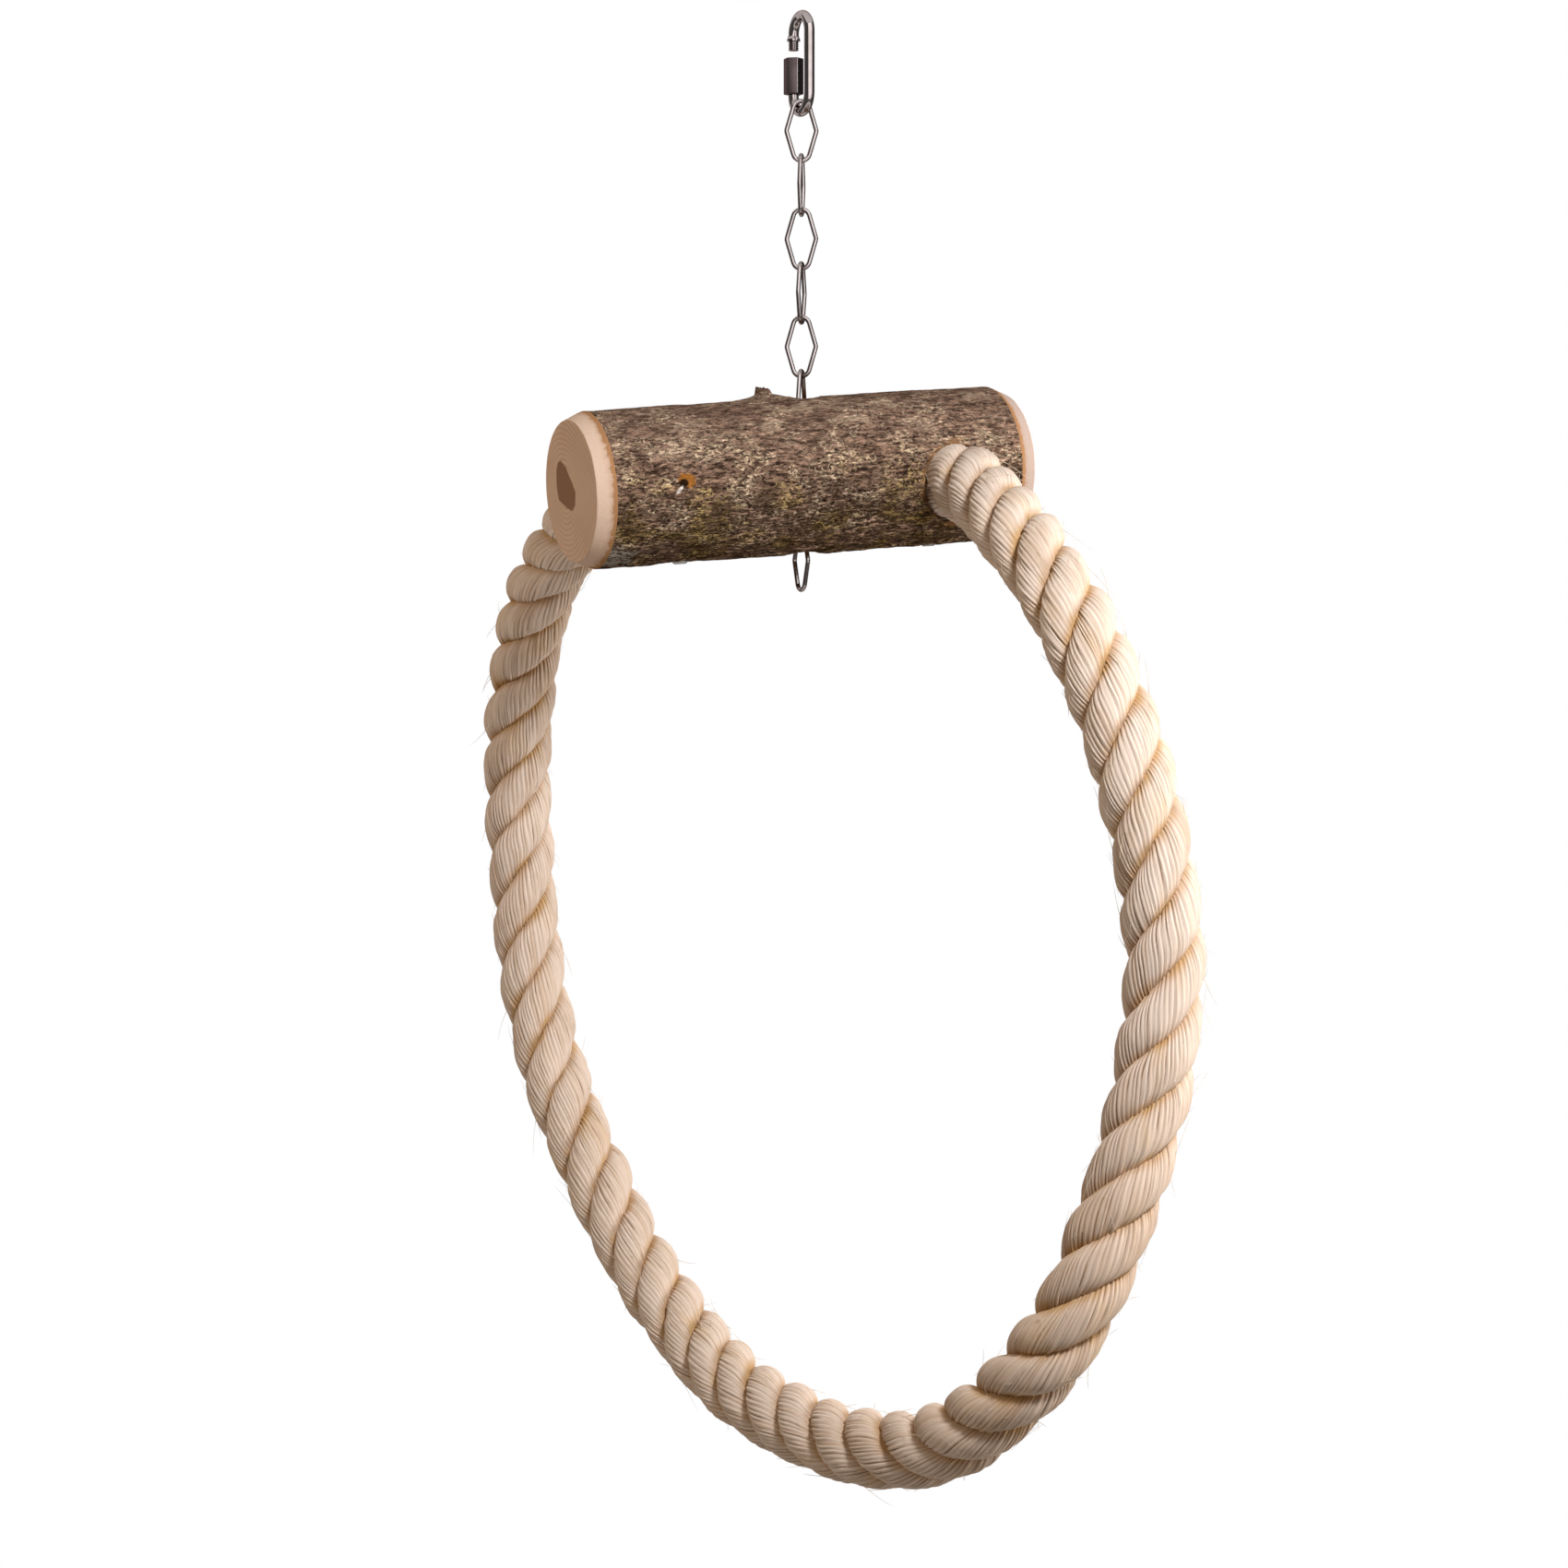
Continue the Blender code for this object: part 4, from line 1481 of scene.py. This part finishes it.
@dataclass
class WireChain:
    """Long hexagonal links of bent wire, each butt-welded in the middle of one side."""

    wire: float = 0.0022
    half_length: float = 0.013925
    half_width: float = 0.007
    end_radius: float = 0.004
    side_radius: float = 0.003
    seam: float = math.radians(3.0)
    seam_swell: float = 1.07
    rise: float = 0.0025
    first_rise: float = 0.00484
    first_pivot: float = -0.0423
    sides: int = 20
    yaws: Tuple[float, ...] = (-22, 58, -35, 53, -37, 53, -54, 19, -88)
    hidden: Tuple[int, ...] = (7, 8)

    def _link(self) -> bpy.types.Object:
        """Bend one link, from its seam on.

        Returns:
            The link, round the origin.
        """
        along = self.half_length - self.end_radius
        across = self.half_width - self.side_radius
        taper = (self.end_radius - self.side_radius) / math.hypot(along, across)
        lean = math.atan2(across, along) - math.asin(taper)
        top = Vector((0.0, 0.0, along))
        right = Vector((across, 0.0, 0.0))
        normal = Vector((math.cos(lean), 0.0, math.sin(lean)))
        mirrored = Vector((-normal.x, 0.0, normal.z))
        end_turn = math.pi - 2 * lean
        start = right + Vector((self.side_radius, 0.0, 0.0))
        bar = BentBar("wire_link", self.wire / 2, self.sides, start, Vector((0, 0, 1)))
        bar.bend(right, self.seam / 2, 1)
        bar.swell(self.seam_swell)
        bar.bend(right, self.seam, 1)
        bar.swell(1.0 / self.seam_swell)
        bar.bend(right, lean - 1.5 * self.seam, 3)
        bar.run(top + normal * self.end_radius)
        bar.bend(top, end_turn, 18)
        bar.run(mirrored * self.side_radius - right)
        bar.bend(-right, 2 * lean, 8)
        bar.run(-top - normal * self.end_radius)
        bar.bend(-top, end_turn, 18)
        bar.run(right - mirrored * self.side_radius)
        bar.bend(right, lean, 4)
        return bar.done()

    def build(self) -> None:
        """Make all links, copied from one."""
        steel = WIRE_STEEL.make()
        pattern = self._link()
        pivot = self.first_pivot
        for number, yaw in enumerate(self.yaws, start=1):
            rise = self.first_rise if number == 1 else self.rise
            centre = pivot + rise - self.half_length
            mesh = pattern.data.copy()
            mesh.name = f"wire_link_{number}"
            turn = Matrix.Rotation(math.radians(yaw), 4, "Z")
            mesh.transform(Matrix.Translation((0.0, 0.0, centre)) @ turn)
            node = f"chain_link_{number}"
            body = LOG_BODY if number in self.hidden else node
            place_on(Workbench.link(mesh), body, steel, node)
            pivot = centre - self.half_length
        bpy.data.objects.remove(pattern, do_unlink=True)


@dataclass
class QuickLink:
    """The open quick link: bent bar with a collar and threaded stud, and its sleeve nut."""

    bar: float = 0.005
    inner_length: float = 0.0398
    spacing: float = 0.0165
    yaw: float = math.radians(-88.0)
    bend_steps: int = 28
    collar_below_top: float = 0.0072
    collar_length: float = 0.0014
    collar: float = 0.0064
    collar_edge: float = 0.93
    stud_length: float = 0.0043
    threads: int = 5
    thread_depth: float = 0.0004
    stud_to_nut: float = 0.0035
    nut_length: float = 0.017
    nut_flats: float = 0.0085
    nut_bore: float = 0.0056
    nut_rounding: float = 0.0005
    nut_turn: float = math.radians(25.5)
    # how far from each upright edge the painted highlight reaches
    highlight_reach: float = math.radians(18.0)
    sides: int = 32

    @property
    def nut_top(self) -> float:
        """Height of the nut's upper face."""
        return -(self.collar_below_top + self.collar_length + self.stud_length + self.stud_to_nut)

    def _bent_bar(self) -> bpy.types.Object:
        """Bend the bar, from the end in the nut to the tip of the stud.

        Returns:
            The bar, before the quick link's turn.
        """
        half = self.spacing / 2
        radius = self.bar / 2
        foot = Vector((0.0, 0.0, half - radius - self.inner_length))
        head = Vector((0.0, 0.0, radius - half))
        start = Vector((-half, 0.0, self.nut_top))
        bar = BentBar("quick_link_bar", radius, self.sides, start, Vector((0, 0, -1)))
        bar.cap()
        for centre in (foot, head):
            bar.climb(centre.z)
            bar.bend(centre, math.pi, self.bend_steps)
        collar_top = -self.collar_below_top
        collar_foot = collar_top - self.collar_length
        edge = self.collar_length / 5
        wide = self.collar / self.bar
        bar.climb(collar_top)
        bar.swell(wide * self.collar_edge)
        bar.climb(collar_top - edge)
        bar.swell(1.0 / self.collar_edge)
        bar.climb(collar_foot + edge)
        bar.climb(collar_foot)
        core = 1.0 - 2 * self.thread_depth / self.bar
        bar.swell(core / wide)
        pitch = self.stud_length / self.threads
        for turn in range(self.threads):
            height = collar_foot - turn * pitch
            bar.climb(height - pitch * 0.2)
            bar.climb(height - pitch * 0.5)
            bar.swell(1.0 / core)
            bar.climb(height - pitch * 0.65)
            bar.climb(height - pitch * 0.95)
            bar.swell(core)
        bar.cap()
        return bar.done()

    def _sleeve_nut(self) -> bpy.types.Object:
        """The six-sided nut with rounded corners.

        Returns:
            The nut, before the quick link's turn.
        """
        nut = Workbench.add(
            "sleeve_nut",
            bpy.ops.mesh.primitive_cylinder_add,
            vertices=6,
            radius=self.nut_flats / math.sqrt(3),
            depth=self.nut_length,
        )
        middle = Vector((-self.spacing / 2, 0.0, self.nut_top - self.nut_length / 2))
        nut.data.transform(Matrix.Translation(middle) @ Matrix.Rotation(self.nut_turn, 4, "Z"))
        rounding = nut.modifiers.new("corners", "BEVEL")
        rounding.width = self.nut_rounding
        rounding.segments = 3
        rounding.limit_method = "ANGLE"
        Workbench.apply(nut, rounding)
        up = Vector((0.0, 0.0, self.nut_length))
        Workbench.cut(nut, Workbench.rod("nut_bore", self.nut_bore / 2, middle - up, middle + up, 40))
        Workbench.smooth(nut, 35.0)
        return nut

    def _dress_nut(self, nut: bpy.types.Object, dark: bpy.types.Material, highlight_finish: bpy.types.Material) -> None:
        """Dark flats, and bright steel along the six upright edges as a painted highlight.

        Args:
            nut: the nut, before the quick link's turn.
            dark: finish of the flats, ends and bore.
            highlight_finish: finish of the edges, a painted highlight.
        """
        nut.data.materials.clear()
        nut.data.materials.append(dark)
        nut.data.materials.append(highlight_finish)
        flat_step = math.pi / 3
        for face in nut.data.polygons:
            outwards = face.center.xy - Vector((-self.spacing / 2, 0.0))
            upright = abs(face.normal.z) < 0.2 and face.normal.xy.dot(outwards) > 0.0
            heading = math.atan2(face.normal.y, face.normal.x) - self.nut_turn
            off_corner = abs((heading / flat_step) % 1.0 - 0.5) * flat_step
            # painted highlight: faces near each upright edge take the bright steel
            if upright and off_corner < self.highlight_reach:
                face.material_index = 1

    def build(self) -> None:
        """Make the bar and the nut."""
        turn = Matrix.Rotation(self.yaw, 4, "Z")
        bar = self._bent_bar()
        bar.data.transform(turn)
        place_on(bar, "quick_link", BAR_STEEL.make(), "quick_link")
        nut = self._sleeve_nut()
        dark = NUT_STEEL.make()
        self._dress_nut(nut, dark, EDGE_HIGHLIGHT_STEEL.make())
        nut.data.transform(turn)
        place_on(nut, "lock_nut", dark, "lock_nut")


@dataclass
class Fixings:
    """The pin and the screws, which keep their CAD shape."""

    nodes: Tuple[str, ...] = ("chain_pin", "rope_screw_right", "rope_screw_left")

    def build(self) -> None:
        """Give the CAD nodes their finish."""
        zinc = ZINC_PLATE.make()
        for name in self.nodes:
            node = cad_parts[name]
            node.data.materials.clear()
            node.data.materials.append(zinc)
            LOGGER.info("%s keeps its CAD shape", name)


@dataclass(frozen=True)
class Lamp:
    """A soft square lamp that looks at the middle of the swing."""

    name: str
    place: Place
    size: float
    power: float
    colour: Colour = WHITE
    mirrored: bool = False
    middle: Place = (0.0, 0.0, -0.36)

    def build(self) -> None:
        """Add the lamp, which either only shows in the steel or only lights what it falls on."""
        Workbench.clear()
        heading = Vector(self.middle) - Vector(self.place)
        turn = heading.to_track_quat("-Z", "Y").to_euler()
        bpy.ops.object.light_add(type="AREA", location=self.place, rotation=turn)
        lamp = bpy.context.object
        lamp.name = self.name
        lamp.data.size = self.size
        lamp.data.energy = self.power
        lamp.data.color = self.colour
        lamp.visible_camera = False
        lamp.visible_glossy = self.mirrored
        lamp.visible_diffuse = not self.mirrored


@dataclass
class Studio:
    """Camera, lamps, floor, grey wall and white background."""

    camera_place: Place = (-0.630, -1.3626, -0.2614)
    camera_turn: float = math.radians(24.5)
    camera_pitch: float = math.radians(3.8)
    lens: float = 72.0
    sensor: float = 36.0
    ambient: float = 0.185
    ambient_colour: Colour = (1.0, 0.80, 0.61)
    lamps: Tuple[Lamp, ...] = (
        Lamp("key", (0.035, -0.995, 0.215), 0.2, 11.8, (0.97, 0.98, 1.0)),
        Lamp("side", (0.919, -0.771, -0.30), 0.5, 8.6, (1.0, 0.94, 0.87)),
        Lamp("fill", (-0.713, 0.126, -0.166), 0.5, 1.6, (1.0, 0.87, 0.74)),
        Lamp("back", (0.918, 1.589, 0.132), 1.2, 34.0),
        Lamp("softbox", (-0.04, -0.93, -0.05), 1.4, 11.5, mirrored=True),
        Lamp("back_softbox", (0.04, 0.93, -0.05), 1.4, 5.5, mirrored=True),
    )
    floor_height: float = -1.75
    floor_radius: float = 1.1
    wall_radius: float = 3.0
    wall_height: float = 5.0

    def build(self) -> None:
        """Set the studio up."""
        self._camera()
        for lamp in self.lamps:
            lamp.build()
        self._floor()
        self._wall()
        self._world()
        bpy.context.scene.view_settings.view_transform = "Standard"

    def _camera(self) -> None:
        """Add the camera at the photograph's viewing angle."""
        Workbench.clear()
        turn = (math.pi / 2 - self.camera_pitch, 0.0, -self.camera_turn)
        bpy.ops.object.camera_add(location=self.camera_place, rotation=turn)
        camera = bpy.context.object
        camera.data.lens = self.lens
        camera.data.sensor_width = self.sensor
        bpy.context.scene.camera = camera

    def _floor(self) -> None:
        """Add a round pale floor below the swing."""
        floor = Workbench.add(
            "floor",
            bpy.ops.mesh.primitive_circle_add,
            vertices=96,
            radius=self.floor_radius,
            fill_type="NGON",
            location=(0.0, 0.0, self.floor_height),
        )
        floor.data.materials.append(FloorFinish().make())

    def _wall(self) -> None:
        """Add a round grey wall that only shows in the steel, as the unlit part of a studio does."""
        wall = Workbench.add(
            "studio_wall",
            bpy.ops.mesh.primitive_cylinder_add,
            vertices=64,
            radius=self.wall_radius,
            depth=self.wall_height,
            end_fill_type="NOTHING",
            location=Lamp.middle,
        )
        wall.data.materials.append(WallFinish().make())
        wall.visible_camera = False
        wall.visible_diffuse = False
        wall.visible_transmission = False
        wall.visible_shadow = False

    def _world(self) -> None:
        """White background for the camera and for reflections, and a softer light all round."""
        world = bpy.data.worlds.new("studio")
        bpy.context.scene.world = world
        world.use_nodes = True
        world.node_tree.nodes.clear()
        nodes = NodeTree(world.node_tree)
        seen = nodes.add("ShaderNodeLightPath", output="Is Camera Ray")
        for ray in ("Is Glossy Ray", "Is Transmission Ray"):
            seen = seen.larger(nodes.add("ShaderNodeLightPath", output=ray))
        soft = {"Color": self.ambient_colour, "Strength": self.ambient}
        around = nodes.add("ShaderNodeBackground", {}, soft)
        white = nodes.add("ShaderNodeBackground", {}, {"Color": WHITE, "Strength": 1.0})
        both = nodes.add("ShaderNodeMixShader", {}, {0: seen, 1: around, 2: white})
        output = world.node_tree.nodes.new("ShaderNodeOutputWorld")
        nodes.feed(output.inputs["Surface"], both)


def main() -> None:
    """Build the studio and then the swing."""
    logging.basicConfig(level=logging.INFO, format="%(message)s")
    Studio().build()
    SisalRope().build()
    BranchLog().build()
    WireChain().build()
    QuickLink().build()
    Fixings().build()


if __name__ == "__main__":
    main()
